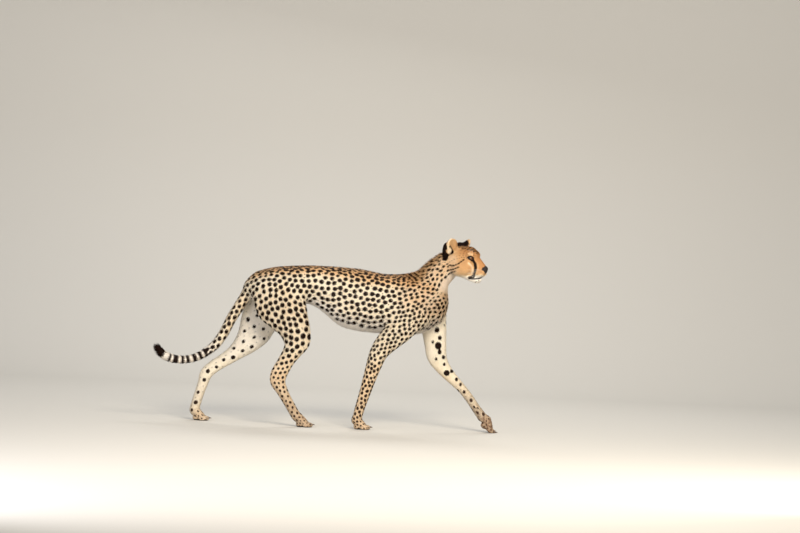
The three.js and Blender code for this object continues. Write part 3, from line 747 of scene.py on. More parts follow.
def surface_net(values):
    corners = [(i, j, k) for i in (0, 1) for j in (0, 1) for k in (0, 1)]
    inside = sum((slab(values, c) < 0).astype(int) for c in corners)
    cells = np.argwhere((inside > 0) & (inside < 8))
    number = np.full(inside.shape, -1)
    number[tuple(cells.T)] = np.arange(len(cells))
    total, hits = np.zeros((len(cells), 3)), np.zeros(len(cells))
    for a in corners:
        for b in corners:
            if sum(b) != sum(a) + 1 or any(v < u for u, v in zip(a, b)):
                continue
            va, vb = (values[tuple((cells + c).T)] for c in (a, b))
            cross = (va < 0) != (vb < 0)
            t = np.where(cross, va / np.where(cross, va - vb, 1), 0)[:, None]
            total += np.where(cross[:, None], np.array(a) + (np.array(b) - np.array(a)) * t, 0)
            hits += cross
    points = LOW + CELL * (cells + total / hits[:, None])
    quads = []
    for axis in range(3):
        u, v = (axis + 1) % 3, (axis + 2) % 3
        step = np.eye(3, dtype=int)
        first, last = np.zeros(3, int), np.array(values.shape)
        first[[u, v]] = 1
        last[axis] -= 1
        last[[u, v]] -= 1
        here = values[first[0] : last[0], first[1] : last[1], first[2] : last[2]] < 0
        shifted = first + step[axis], last + step[axis]
        there = values[tuple(slice(*pair) for pair in zip(*shifted))] < 0
        at = np.argwhere(here != there) + first
        ring = [number[tuple((at - o).T)] for o in (step[u] + step[v], step[v], 0 * step[u], step[u])]
        ring = np.stack(ring, axis=1)
        outward = here[tuple((at - first).T)]
        ring[~outward] = ring[~outward][:, ::-1]
        quads.append(ring)
    quads = np.concatenate(quads)
    return points.astype(np.float32), quads


net_points, net_quads = surface_net(skin_samples())
print("net:", len(net_points), "points,", len(net_quads), "quads, open cells:", int((net_quads < 0).sum()))


# %% Halving edges and settling on the surface
def triangles_of(points, quads):
    """Each quad cut along its shorter diagonal."""
    a, b, c, d = (points[quads[:, i]] for i in range(4))
    short = np.linalg.norm(a - c, axis=1) < np.linalg.norm(b - d, axis=1)
    one = np.where(short[:, None], quads[:, [0, 1, 2]], quads[:, [0, 1, 3]])
    two = np.where(short[:, None], quads[:, [0, 2, 3]], quads[:, [1, 2, 3]])
    return np.concatenate([one, two])


def edges_of(triangles):
    """The edges, and for each triangle the numbers of its edges 0-1, 1-2 and 2-0."""
    pairs = np.sort(triangles[:, [0, 1, 1, 2, 2, 0]].reshape(-1, 2), axis=1)
    code = pairs[:, 0].astype(np.int64) * (triangles.max() + 1) + pairs[:, 1]
    _, first, inverse = np.unique(code, return_index=True, return_inverse=True)
    return pairs[first], inverse.reshape(-1, 3)


def halved(points, triangles, longest):
    """Edges longer than longest allows at their middle are halved, and the triangles on them divided."""
    edges, of_triangle = edges_of(triangles)
    a, b = points[edges[:, 0]], points[edges[:, 1]]
    middle = (a + b) / 2
    marked = np.linalg.norm(a - b, axis=1) > longest(middle)
    number = np.full(len(edges), -1)
    number[marked] = len(points) + np.arange(marked.sum())
    m = number[of_triangle]
    t = triangles.copy()
    count = (m >= 0).sum(axis=1)
    for _ in range(2):  # turn each triangle until its marked edges come first
        wrong = ((count == 1) & (m[:, 0] < 0)) | ((count == 2) & (m[:, 2] >= 0))
        t[wrong] = np.roll(t[wrong], -1, axis=1)
        m[wrong] = np.roll(m[wrong], -1, axis=1)
    columns = np.concatenate([t, m], axis=1)  # corners 0 1 2, middles 3 4 5
    cuts = {0: [[0, 1, 2]], 1: [[0, 3, 2], [3, 1, 2]], 2: [[3, 1, 4], [0, 3, 4], [0, 4, 2]],
            3: [[0, 3, 5], [3, 1, 4], [5, 4, 2], [3, 4, 5]]}
    made = [columns[count == n][:, cut] for n, several in cuts.items() for cut in several]
    return np.concatenate([points, middle[marked]]).astype(np.float32), np.concatenate(made)


def settled(points, passes=2, most=4.0):
    """Points slid along the distance's slope onto the skin."""
    step = 0.4
    for _ in range(passes):
        here = skin_distance(points)
        ahead = [skin_distance(points + step * axis) - here for axis in np.eye(3, dtype=np.float32)]
        slope = np.stack(ahead, axis=1) / step
        move = -here[:, None] * slope / np.maximum((slope**2).sum(axis=1), 0.3)[:, None]
        length = np.linalg.norm(move, axis=1)[:, None]
        points = points + move * np.minimum(1, most / np.maximum(length, 1e-6))
    return points.astype(np.float32)


def relaxed(points, triangles, share=0.5):
    """Each point moved part of the way to the middle of its neighbours."""
    edges, _ = edges_of(triangles)
    total, count = np.zeros((len(points), 3)), np.zeros(len(points))
    for a, b in ((0, 1), (1, 0)):
        for axis in range(3):
            total[:, axis] += np.bincount(edges[:, a], points[edges[:, b], axis], len(points))
        count += np.bincount(edges[:, a], minlength=len(points))
    return (points + share * (total / np.maximum(count, 1)[:, None] - points)).astype(np.float32)


def longest_edge(p):
    """How long an edge may be: short on head and paws, shortest round eyes, nose and mouth."""
    q = in_head(p)
    longest = np.full(len(p), 1.6 * CELL)
    head = (p[:, 0] > 585) & (p[:, 2] > 745)
    longest[head | (p[:, 2] < 75)] = 0.8 * CELL
    _, _, _, from_eye = eye_view(q)
    mouth = mouth_distance(q)
    fine = head & ((from_eye < 27) | (mouth < 5) | (q[:, 0] > 164) & (q[:, 2] < -3) & (q[:, 2] > -64))
    longest[fine] = 0.42 * CELL
    longest[head & (leather_inside(q) > -1.5)] = 0.24 * CELL
    return longest


skin_points, skin_faces = net_points, triangles_of(net_points, net_quads)
skin_points = settled(relaxed(settled(skin_points), skin_faces))
for halving in range(3):
    skin_points, skin_faces = halved(skin_points, skin_faces, longest_edge)
    if halving:
        skin_points = settled(relaxed(skin_points, skin_faces, 0.3), passes=halving)
print("skin:", len(skin_points), "points,", len(skin_faces), "triangles")


# %% The skin as a mesh
def mesh_object(name, points, faces):
    """A mesh object at the origin from points in millimetres."""
    mesh = bpy.data.meshes.new(name)
    mesh.from_pydata((points * MM).tolist(), [], faces.tolist())
    mesh.shade_smooth()
    return linked(name, mesh)


skin = mesh_object("skin", skin_points, skin_faces)
print("skin made:", len(skin.data.polygons), "faces")

# %% [markdown]
# ## Which way the hair lies, and how long it is
# A cat's hair runs from the nose back over the head, down the neck, along the body to the tail and down the
# legs to the toes. Each part knows its own way, and near a border the ways mix as the depths did. Length
# follows the same pattern: a few millimetres on the face and toes, 12 to 15 on the body, longest on the
# nape, in the ruff, under the belly and at the tip of the tail.

# %% The lie and the length of the coat
P = skin_points
PART_D = part_distances(P, thinner=1.2)
SHARE = shares_of(PART_D)
IN_HEAD = in_head(P)
SIDE = np.sign(P[:, 1])
_, trunk_bar, trunk_place = TRUNK_FORM.place(P)
_, neck_bar, neck_place = NECK_FORM.place(P)
_, tail_bar, tail_place = TAIL_FORM.place(P)


def vertex_normals(points, faces):
    a, b, c = (points[faces[:, i]] for i in range(3))
    face = np.cross(b - a, c - a)
    total = [sum(np.bincount(faces[:, i], face[:, k], len(points)) for i in range(3)) for k in range(3)]
    total = np.stack(total, axis=1)
    return total / np.maximum(np.linalg.norm(total, axis=1), 1e-9)[:, None]


NORMAL = vertex_normals(P, skin_faces)


def unit(v):
    return v / np.maximum(np.linalg.norm(v, axis=1), 1e-9)[:, None]


def ear_places(name):
    """Each vertex in an ear's frame: towards the rear edge of the ear, out of its opening, and up it."""
    ear = EARS[name]
    e = into(IN_HEAD, ear[0], ear_axes(ear))
    return -np.sign(ear[0][1]) * e[:, 0], e[:, 1], e[:, 2]


def hair_ways():
    """The way that the hair of each part lies."""
    flank = np.clip(1 - np.abs(trunk_place[:, 1]), 0, 1)[:, None]
    ways = {
        "trunk": -TRUNK_FORM.d[trunk_bar] + flank * [0, 0, -0.35],
        "neck": -NECK_FORM.d[neck_bar],
        "tail": TAIL_FORM.d[tail_bar],
    }
    from_nose = unit(IN_HEAD - [186, 0, -24]) + [-0.5, 0, 0.1]
    ways["skull"] = from_nose @ HEAD_AXES.T
    for name, ear in EARS.items():
        wide, opens, high = (HEAD_AXES @ ear_axes(ear)).T
        rear, out, _ = ear_places(name)
        inner = ((out > -2) & (NORMAL @ opens > 0.1))[:, None]
        ways[name] = high + inner * (0.9 * np.sign(ear[0][1]) * np.sign(rear - 4))[:, None] * wide
    for name, leg in LEGS.items():
        _, bar, _ = LIMBS[name].place(P)
        ways[name] = LIMBS[name].d[bar] + [-0.15, 0, 0]
        ways[name + "_paw"] = np.broadcast_to(turn(*leg["paw"][1:]) @ [1, 0, -0.35], P.shape)
    return ways


def hair_lengths():
    """The length of the hair of each part, in millimetres."""
    x, z = P[:, 0], P[:, 2]
    q = IN_HEAD
    belly, chest, withers = long_regions(x, z)
    nape = smooth_step(0.4, 0.9, neck_place[:, 1])
    throat = smooth_step(-0.3, -0.8, neck_place[:, 1])
    ruff = smooth_step(-30, -70, q[:, 2]) * smooth_step(110, 50, q[:, 0])
    back = smooth_step(0.45, 0.85, trunk_place[:, 1])
    lengths = {
        "trunk": 13 - 4 * back + 13 * belly + 6 * chest + 6 * withers,
        "neck": 14 + 12 * nape + 7 * throat,
        "skull": 9 - 4.5 * smooth_step(50, 130, q[:, 0]) + 11 * ruff,
        "tail": 15 + 13 * smooth_step(-770, -830, x),
    }
    for name in EARS:
        rear, out, up = ear_places(name)
        inside = smooth_step(-2, 4, out) * smooth_step(50, 34, up) * smooth_step(10, 18, np.abs(rear - 4))
        lengths[name] = 5 + 9 * inside
    for name in LEGS:
        lengths[name] = 8 + 5 * smooth_step(200, 520, z)
        lengths[name + "_paw"] = np.full(len(P), 6.0)
    return lengths


WAYS = hair_ways()
lie = sum(SHARE[name][:, None] * unit(WAYS[name]) for name in PARTS)
LIE = unit(lie - NORMAL * (lie * NORMAL).sum(axis=1)[:, None])
LENGTH = mixed(hair_lengths(), SHARE)
DEPTH = mixed(part_depths(P), SHARE)
print("hair length from", round(float(LENGTH.min()), 1), "to", round(float(LENGTH.max()), 1), "mm")

# %% [markdown]
# ## The markings
# A cheetah has solid, round spots, evenly spread and never touching, with small faint ones between. To lay
# them, vertices are tried in turn, and one becomes a spot's middle where no other is too near, which gives
# the even but irregular spacing of the real coat. Each region has its own size, spacing and stretch. What
# is stored is not a colour but **ink**: how many millimetres a point lies inside black. A shader can then
# draw a crisp edge from vertices that are far apart, and skin and hair read the same number.

# %% Spot sizes and spacing by region
OUTER = smooth_step(-0.25, 0.35, NORMAL[:, 1] * SIDE)  # 1 on the outer side of a limb, 0 on the inner one


def spot_rules():
    """Radius and spacing of the spots in millimetres, and their stretch. No spot where the radius is 0."""
    x, z = P[:, 0], P[:, 2]
    up = trunk_place[:, 1]
    q = IN_HEAD
    back = smooth_step(0.55, 0.95, up)
    shoulder = smooth_step(300, 400, x)
    bare_belly = up < -0.8
    rump = smooth_step(-120, -240, x)
    breast = smooth_step(380, 470, x) * smooth_step(-0.1, -0.6, up)
    flank = 12.7 + 0.4 * rump - 1.4 * back - 2.5 * shoulder - 0.4 * breast
    radius = {"trunk": np.where(bare_belly, 0, flank)}
    spacing = {"trunk": 26.4 - 7 * back - 5.2 * shoulder + 3 * breast - rump}
    stretch = {"trunk": 1.1 + 0.8 * back + 0.3 * shoulder}
    throat = neck_place[:, 1] < -0.5
    nape = smooth_step(0.35, 0.9, neck_place[:, 1])
    radius["neck"] = np.where(throat, 0, 8.6 + 1.2 * nape)
    spacing["neck"] = 21 - 3.5 * nape
    stretch["neck"] = 1.6 + 0.5 * nape
    crown = smooth_step(44, 66, q[:, 2])
    brow = np.hypot(q[:, 0] - 118, q[:, 2] - 49) < 13
    face_bare = (q[:, 0] > 134) | (q[:, 2] < 30 - 0.3 * (90 - q[:, 0])) | (lid_opening(q) < 11) | brow
    radius["skull"] = np.where(face_bare, 0, 2.3 + 0.4 * crown)
    spacing["skull"] = 9.0 - 0.8 * crown
    stretch["skull"] = 1.6 + 1.2 * crown
    radius["tail"] = np.where(x < -600, 0, 12.0)
    spacing["tail"] = np.full(len(P), 25.5)
    stretch["tail"] = np.full(len(P), 1.2)
    for name in EARS:
        radius[name], spacing[name], stretch[name] = 0.0 * x, 10.0 + 0 * x, 1.0 + 0 * x
    for name in LEGS:
        hind = name.startswith("hind")
        top, foot = (13.4, 7.4) if hind else (10.9, 9.4)
        low = smooth_step(450, 260, z)
        stifle = 3.2 * bell(np.hypot(x + 105, z - 470), 60) if name == "hindleg_right" else 0
        inner = 1 - OUTER
        radius[name] = top - (top - foot) * low * OUTER + stifle - (3.2 if hind else 1.0) * inner
        apart, closer, sparser = (27.5, 5.5, 20) if hind else (20.8, 2, 15)
        spacing[name] = apart - closer * low + 2.4 * stifle + sparser * inner
        spacing[name] = spacing[name] + 16 * inner * smooth_step(500, 600, z)
        stretch[name] = np.full(len(P), 1.15 if hind else 1.25)
        radius[name + "_paw"] = np.full(len(P), 4.0)
        spacing[name + "_paw"] = np.full(len(P), 14.0)
        stretch[name + "_paw"] = np.full(len(P), 1.2)
    return mixed(radius, SHARE), mixed(spacing, SHARE), mixed(stretch, SHARE)


def strewn(allowed, spacing, stretch, seed):
    """Vertices picked so that no two are nearer than spacing, in a measure stretched along the hair."""
    rng = np.random.default_rng(seed)
    order = np.argsort(P @ [0.6, 0.25, 0.75] + rng.uniform(0, 14, len(P)))
    places, ways = P.tolist(), LIE.tolist()
    size = 40.0  # the side of a cube of the grid; no spacing is wider
    around = [(a, b, c) for a in (-1, 0, 1) for b in (-1, 0, 1) for c in (-1, 0, 1)]
    grid = {}
    picked = []
    for i in order[allowed[order]].tolist():
        (x, y, z), (u, v, w), e = places[i], ways[i], stretch[i]
        key = (int(x // size), int(y // size), int(z // size))
        least = spacing[i] ** 2
        clear = True
        for a, b, c in around:
            for ox, oy, oz in grid.get((key[0] + a, key[1] + b, key[2] + c), ()):
                dx, dy, dz = x - ox, y - oy, z - oz
                along = dx * u + dy * v + dz * w
                if along * along / e + (dx * dx + dy * dy + dz * dz - along * along) * e < least:
                    clear = False
                    break
            if not clear:
                break
        if clear:
            grid.setdefault(key, []).append((x, y, z))
            picked.append(i)
    return np.array(picked)


def tree_of(centres):
    tree = kdtree.KDTree(len(centres))
    for i, centre in enumerate(centres.tolist()):
        tree.insert(centre, i)
    tree.balance()
    return tree


def kept_apart(centres, ways, radii, stretches, share):
    """The radii, made smaller where two spots would touch: a share of the way to the nearest one at most."""
    tree = tree_of(centres)
    near = np.array([[hit[1] for hit in tree.find_n(place, 7)][1:] for place in centres.tolist()])
    for column in near.T:
        away = centres[column] - centres
        along = (away * ways).sum(axis=1)
        square = (away**2).sum(axis=1) - along**2
        gap = np.sqrt(along**2 / stretches + np.maximum(square, 0) * stretches)
        radii = np.minimum(radii, share * gap)
    return radii


def depth_inside(centres, ways, radii, stretches, most=8):
    """How far inside the nearest spot each vertex is, in millimetres; outside it is below 0."""
    tree = tree_of(centres)
    near = np.array([[hit[1] for hit in tree.find_n(place, most)] for place in P.tolist()])
    best = np.full(len(P), -40.0)
    for column in near.T:
        away = P - centres[column]
        along = (away * ways[column]).sum(axis=1)
        square = (away**2).sum(axis=1) - along**2
        e = stretches[column]
        best = np.maximum(best, radii[column] - np.sqrt(along**2 / e + np.maximum(square, 0) * e))
    return best


SPOT_RADIUS, SPOT_SPACING, SPOT_STRETCH = spot_rules()
chance = np.random.default_rng(7)
large = strewn(SPOT_RADIUS > 1.5, SPOT_SPACING, SPOT_STRETCH, seed=11)
turned = unit(LIE + np.cross(NORMAL, LIE) * chance.normal(0, 0.3, len(P))[:, None])[large]
varied = (SPOT_RADIUS * chance.uniform(0.84, 1.12, len(P)))[large]
most = 0.43 + 0.06 * smooth_step(0.5, 0.9, trunk_place[:, 1]) * SHARE["trunk"]
varied = kept_apart(P[large], turned, varied, SPOT_STRETCH[large], most[large])
ink = depth_inside(P[large], turned, varied, SPOT_STRETCH[large])
free = (ink < -0.3 * SPOT_SPACING) & (SPOT_RADIUS > 4) & (chance.random(len(P)) < 0.4)
small = strewn(free, 0.62 * SPOT_SPACING, SPOT_STRETCH, seed=12)
ink = np.maximum(ink, depth_inside(P[small], LIE[small], 0.24 * SPOT_RADIUS[small], SPOT_STRETCH[small]))
print("spots:", len(large), "large and", len(small), "small")

# %% [markdown]
# ## Marks with a place of their own
# Some marks are the same on every cheetah: the black tear line from the eye to the corner of the mouth,
# black lips and eyelids, black backs to the ears, and bands round the end of the tail. The lids' black is
# drawn wider than the rim, so its outer band is painted shade round the eye, and the black down the hollow
# inside each ear is painted shade.

# %% Tear lines, lips, ears and tail
# x and half width of each band
TAIL_BANDS = [[-779, 6], [-749, 13], [-714, 8], [-688, 9], [-655, 10], [-627, 8], [-603, 6]]
TAIL_TIP = -808
BLOTCHES = [  # on the inner side of the left foreleg: x, y, z, radius, stretch
    [556, 50, 430, 18, 1.2], [564, 52, 398, 12, 1.5], [584, 54, 372, 10, 1.3], [548, 52, 362, 8, 1.3],
    [604, 56, 293, 15, 1.0], [628, 56, 303, 9, 1.2], [562, 50, 470, 11, 1.3], [546, 50, 510, 14, 1.2],
    [590, 54, 336, 8, 1.2], [654, 58, 262, 9, 1.3], [528, 52, 448, 8, 1.2], [676, 58, 238, 8, 1.3],
]


CHIN_DOTS = [[166, -82], [160, -86], [153, -89], [147, -86], [156, -81], [141, -90]]  # x and z
PAD_DOTS = [(176, -40, 4), (177, -47, 5), (175, -54, 5)]  # x and z of each row's first, and how many
EAR_STREAK = [[-16, 60], [-24, 12]]  # the black that runs down the neck from the back of the ear
# painted shade: a black band down the hollow inside each ear, where the cup shades itself
EAR_HOLLOW_SHADE = [[24, 27], [19, 21], [17, 10], [20, -4]]  # towards the rear edge of the ear, and up it
CHEEK_ROWS = [  # rows of beads from the outer corner of the eye down to the ruff, and below them
    [[88, 19], [64, -2], [40, -13], [12, -12]], [[66, -19], [38, -31], [8, -36]],
    [[50, -40], [24, -48], [4, -54]],
]
BEAD_SPACING = 13


def bead_depth(flat, row):
    """How far inside one of the beads strung along a row a point is; each bead is longer along the row."""
    row = np.array(row, np.float32)
    best = np.full(len(flat), -40.0)
    for a, b in zip(row[:-1], row[1:]):
        way = (b - a) / np.linalg.norm(b - a)
        for step in np.arange(2, np.linalg.norm(b - a), BEAD_SPACING):
            away = flat - a - step * way
            along, across = away @ way, away @ np.array([-way[1], way[0]])
            best = np.maximum(best, 3.9 + 0.6 * np.sin(step) - np.hypot(along * 0.75, across * 1.05))
    return best


def set_marks():
    """The black marks of the head and tail, with painted shade in each ear's hollow and round the eyes, as
    millimetres inside black.
    """
    q = IN_HEAD
    side = np.abs(q[:, 1])
    flat = q[:, [0, 2]]
    head = SHARE["skull"] > 0.5
    marks = np.full(len(P), -40.0)

    def lay(where, depth):
        np.maximum(marks, np.where(where, depth, -40.0), out=marks)

    thick = 4.6 + 1.8 * smooth_step(18, -4, q[:, 2])
    lay(head & (side > 10), thick - line_distance(flat, TEAR_LINE))
    across, _, out, _ = eye_view(q)
    # the lids' own black rim, drawn wider than the bare rim so that its outer band is painted shade round the
    # eye
    rim = 4.8 + 1.2 * smooth_step(6, 14, np.abs(across)) - lid_opening(q)
    lay(head & (out > 4), rim)
    lips = 4.4 - mouth_distance(q)
    corner = 8.0 - line_distance(flat, [[133, -58], [126, -66], [113, -70]])
    lips = np.maximum(lips, np.where(side > 14, corner, -40))
    groove = np.minimum(1.9 - side, 8 - line_distance(flat, [[188, -46], [182, -62]]))
    lay(head & (q[:, 0] > 98), np.maximum(lips, groove))
    lay(head, leather_inside(q))
    for row in CHEEK_ROWS:
        lay((side > 20) & (SHARE["skull"] > 0.3), bead_depth(flat, row))
    for k in range(3):  # broken dark streaks run over the forehead to the crown
        streak = 2.4 + 1.9 * np.sin(0.42 * q[:, 0] + 2.1 * k) - np.abs(side - 6 - 10 * k)
        streak = np.minimum(streak, np.minimum(q[:, 2] - 42 - 0.3 * side, q[:, 0] - 30))
        lay(head, streak)
    for x, z in CHIN_DOTS:
        dot = 2.5 - np.hypot(q[:, 0] - x, q[:, 2] - z)
        lay(head & (side > 7) & (q[:, 0] > 130), dot)
    for x, z, count in PAD_DOTS:
        for j in range(count):
            dot = 1.15 - np.hypot(q[:, 0] - x + 6.5 * j, q[:, 2] - z - 0.8 * j)
            lay(head & (side > 12), dot)
    for name, ear in EARS.items():
        rear, out, up = ear_places(name)
        facing = NORMAL @ (HEAD_AXES @ ear_axes(ear)[:, 1])
        near = SHARE[name] + SHARE["skull"] > 0.6
        # painted shade in each ear's hollow, on the side that faces out of the opening
        hollow_shade = 6.6 - line_distance(np.stack([rear, up], axis=1), EAR_HOLLOW_SHADE)
        lay(near & (out > -6) & (facing > 0.05), hollow_shade)
        behind = np.minimum(-out - 1, np.minimum(up - 2, 46 - np.hypot(rear, up - 6)))
        lay(near & (facing < 0.25), behind)
        heel = np.minimum(7.5 - blob(q, ear[3], EAR_HEEL), -3.5 - out)
        lay(near | (out < -7), heel)
    streak = 3 + 6 * smooth_step(10, 50, q[:, 2]) - line_distance(flat, EAR_STREAK)
    lay((side > 24) & (side < 80) & (P[:, 0] < 600), streak)
    start, end = TAIL_FORM.start[tail_bar, 0], TAIL_FORM.end[tail_bar, 0]
    path_x = start * (1 - tail_place[:, 0]) + end * tail_place[:, 0]
    bands = np.max([half - np.abs(path_x - x) for x, half in TAIL_BANDS], axis=0)
    lay(SHARE["tail"] > 0.5, np.maximum(bands, TAIL_TIP - path_x))
    for x, y, z, radius, stretch in BLOTCHES:
        away = P - np.array([x, y, z])
        blot = radius - np.hypot(away[:, 0] * stretch**0.5, away[:, 2] / stretch**0.5)
        lay((np.abs(away[:, 1]) < 22) & (OUTER < 0.6), blot)
    return marks


on_ears = sum(SHARE[name] for name in EARS)
blotched = (SHARE["foreleg_left"] > 0.5) & (OUTER < 0.5) & (P[:, 2] > 225) & (P[:, 2] < 530)
INK = np.clip(np.maximum(np.where((on_ears > 0.15) | blotched, -12, ink), set_marks()), -12, 12)
print("share of the skin in black:", round(float((INK > 0).mean()), 3))

# %% [markdown]
# ## The ground colour
# Between the spots the coat goes from tan along the spine through cream on the flanks to white on the
# belly, the throat and the insides of the legs. Neck, shoulders and face are more orange. Two numbers carry
# that: **tawny**, from 0 for white to 1 for the darkest tan, and **warm** for the orange. A third,
# **dust**, is the dry earth that a walking animal picks up on its paws, and **bare** is how many
# millimetres a point lies inside the hairless skin of nose, lips and pads.

# %% Tawny, warm, dust and bare


def ground_colours():
    x, z = P[:, 0], P[:, 2]
    q = IN_HEAD
    side = np.abs(q[:, 1])
    flat = q[:, [0, 2]]
    up, neck_up = trunk_place[:, 1], neck_place[:, 1]
    shoulder = smooth_step(300, 460, x) * smooth_step(480, 620, z)
    tawny = {
        "trunk": (
            0.34 + 0.52 * smooth_step(0.35, 1.0, up) - 0.32 * smooth_step(-0.3, -0.85, up) + 0.12 * shoulder
        ),
        "neck": 0.46 + 0.3 * smooth_step(0.4, 0.95, neck_up) - 0.4 * smooth_step(-0.1, -0.7, neck_up),
        "tail": 0.42 - 0.3 * smooth_step(-480, -600, x),
    }
    face = 0.7 + 0.3 * smooth_step(26, 58, q[:, 2]) + 0.14 * smooth_step(110, 140, q[:, 0])
    face = face - 0.12 * smooth_step(20, 60, side) * smooth_step(90, 40, q[:, 0])
    face = face * smooth_step(-76, -50, q[:, 2] - 0.04 * (q[:, 0] - 90))
    pads = bell(line_distance(flat, [[150, -60], [176, -56]]), 11) * smooth_step(2, 8, side)
    behind_tear = bell(line_distance(flat, [[114, 4], [124, -8], [130, -28], [124, -46]]), 5)
    before_tear = bell(line_distance(flat, [[146, 6], [153, -8], [153, -32], [147, -48]]), 4)
    above_eye = bell(line_distance(flat, [[124, 48], [108, 50]]), 6)
    # darker along the top of the nose bridge: partly its own darker tan, partly painted shade of its far side
    bridge_tan_and_shade = smooth_step(22, 8, side) * smooth_step(95, 130, q[:, 0]) * smooth_step(-44, -28, q[:, 2])
    pale = 0.26 * pads + 0.32 * behind_tear + 0.12 * before_tear + 0.42 * above_eye
    tawny["skull"] = np.clip(face - pale + 0.26 * bridge_tan_and_shade, 0, 1)
    for name in EARS:
        rear, out, up_ear = ear_places(name)
        tuft = bell(np.hypot(rear - 33, (up_ear - 4) * 0.7), 9)
        rim = smooth_step(26, 32, np.hypot(rear * 0.95, up_ear - 30))
        tawny[name] = 0.76 - np.maximum(0.5 * tuft, 0.3 * rim) * smooth_step(-8, -2, out)
    warm = {
        "trunk": 0.08 + 0.15 * smooth_step(0.3, 0.9, up) + 0.5 * shoulder,
        "neck": 0.5 + 0 * x,
        "tail": 0.12 + 0 * x,
    }
    warm["skull"] = 0.75 * smooth_step(-60, -20, q[:, 2]) * (1 - np.clip(1.3 * pale, 0, 1))
    dust = {name: np.zeros(len(P)) for name in PARTS}
    soiled = {"foreleg_left": 0.85, "hindleg_right": 0.5, "foreleg_right": 0.3, "hindleg_left": 0.3}
    for name in EARS:
        warm[name] = 0.25 * tawny[name]
    for name in LEGS:
        inner = 1 - OUTER
        tawny[name] = 0.36 - (0.24 if name.startswith("hind") else 0.12) * inner
        tawny[name] += 0.06 * smooth_step(480, 620, z) + 0.16 * smooth_step(420, 250, z)
        tawny[name + "_paw"] = np.full(len(P), 0.5)
        warm[name] = 0.16 * OUTER
        warm[name + "_paw"] = np.full(len(P), 0.2)
        dust[name] = soiled[name] * smooth_step(300, 70, z) * 0.8
        dust[name + "_paw"] = soiled[name] * smooth_step(200, 40, z)
    return mixed(tawny, SHARE), mixed(warm, SHARE), mixed(dust, SHARE)


def bare_skin():
    """How far inside nose leather, lips, rims of lids or the feet's pads a point is, in millimetres."""
    q = IN_HEAD
    lips = np.where(q[:, 0] > 112, 2.0 - mouth_distance(q), -5)
    _, _, out, _ = eye_view(q)
    rims = np.where(out > 6, 1.4 - lid_opening(q), -5)
    on_head = np.where(SHARE["skull"] > 0.5, np.max([leather_inside(q), lips, rims], axis=0), -5)
    pads = np.minimum(6 - P[:, 2], 4 * (-0.5 - NORMAL[:, 2]))
    return np.clip(np.maximum(on_head, pads), -5, 5)


TAWNY, WARM, DUST = ground_colours()
BARE = bare_skin()
INK = np.maximum(INK, np.where(BARE > -0.4, 2 * BARE + 0.5, -12))
print("mean tawny", round(float(TAWNY.mean()), 2), "and warm", round(float(WARM.mean()), 2))

# %% [markdown]
# ## The numbers go onto the skin
# Each number becomes an attribute of the mesh, which shaders and Geometry Nodes read by name. The skin also
# gets an unwrap of its own shape. The hair will use it too: each tuft takes a tiny patch at its root's
# place.

# %% Attributes and unwrap
def put(mesh, name, values, kind="FLOAT", domain="POINT"):
    """Stores an array as a named attribute of a mesh."""
    made = mesh.attributes.new(name, kind, domain)
    field = "vector" if kind in ("FLOAT_VECTOR", "FLOAT2") else "value"
    made.data.foreach_set(field, np.asarray(values, np.float32).ravel())


MARKINGS = {"ink": INK, "tawny": TAWNY, "warm": WARM, "dust": DUST, "bare": BARE}
for name, values in MARKINGS.items():
    put(skin.data, name, values)
skin.data.uv_layers.new(name="OFBake")
bpy.context.view_layer.objects.active = skin
skin.select_set(True)
bpy.ops.object.mode_set(mode="EDIT")
bpy.ops.mesh.select_all(action="SELECT")
bpy.ops.uv.smart_project(angle_limit=math.radians(66), island_margin=0.002)
bpy.ops.object.mode_set(mode="OBJECT")
SKIN_UV = np.zeros(len(skin.data.loops) * 2, np.float32)
skin.data.uv_layers["OFBake"].data.foreach_get("uv", SKIN_UV)
SKIN_UV = SKIN_UV.reshape(-1, 3, 2)
print("attributes:", list(MARKINGS), "unwrap from", SKIN_UV.min().round(3), "to", SKIN_UV.max().round(3))

# %% [markdown]
# ## Hair colour
# Skin and hair share one node group for colour, so that a spot on the skin and the hair that grows from it
# can't disagree. The group turns ink into black with a slightly wavy edge, tawny into the ground colour,
# and then lays the orange and the dust over it. All waviness comes from noise on the piece's own
# coordinates, scaled in real millimetres.

# %% The shared colour group
SPOT_WAVE_MM = 9  # how long the waves of a spot's edge are
PATCH_MM = 60  # how broad the lighter and darker patches of the coat are
GROUND = [(0.0, "f6efe3"), (0.36, "ecdfc4"), (0.66, "d8b486"), (1.0, "a67c54")]  # white to the back's tan
ORANGE, EARTH, BLACK = "cd8a48", "6f4f3a", "1a0a03"


def noise(tree, place, size_mm, detail=2.0):
    inputs = {"Vector": place, "Scale": 1 / (size_mm * MM), "Detail": detail}
    return add_node(tree, "ShaderNodeTexNoise", inputs).outputs["Fac"]


def maths(tree, operation, a, b=0.0, c=0.0):
    return add_node(tree, "ShaderNodeMath", {0: a, 1: b, 2: c}, operation=operation).outputs[0]


def stored(tree, name, output="Fac"):
    """A named attribute of the mesh, in a shader."""
    return add_node(tree, "ShaderNodeAttribute", attribute_name=name).outputs[output]


def mix_colour(tree, share, a, b):
    return add_node(tree, "ShaderNodeMix", {0: share, 6: a, 7: b}, data_type="RGBA").outputs[2]


def ranged(tree, value, low, high, kind="LINEAR"):
    """0 below low and 1 above high."""
    inputs = {"Value": value, "From Min": low, "From Max": high}
    return add_node(tree, "ShaderNodeMapRange", inputs, interpolation_type=kind).outputs["Result"]


def colour_ramp(tree, share, stops):
    """Colours that pass into one another at the given places from 0 to 1."""
    made = add_node(tree, "ShaderNodeValToRGB", {"Fac": share})
    elements = made.color_ramp.elements
    for index, (position, colour) in enumerate(stops):
        stop = elements[index] if index < 2 else elements.new(position)
        stop.position = position
        stop.color = linear(colour)
    return made.outputs["Color"]


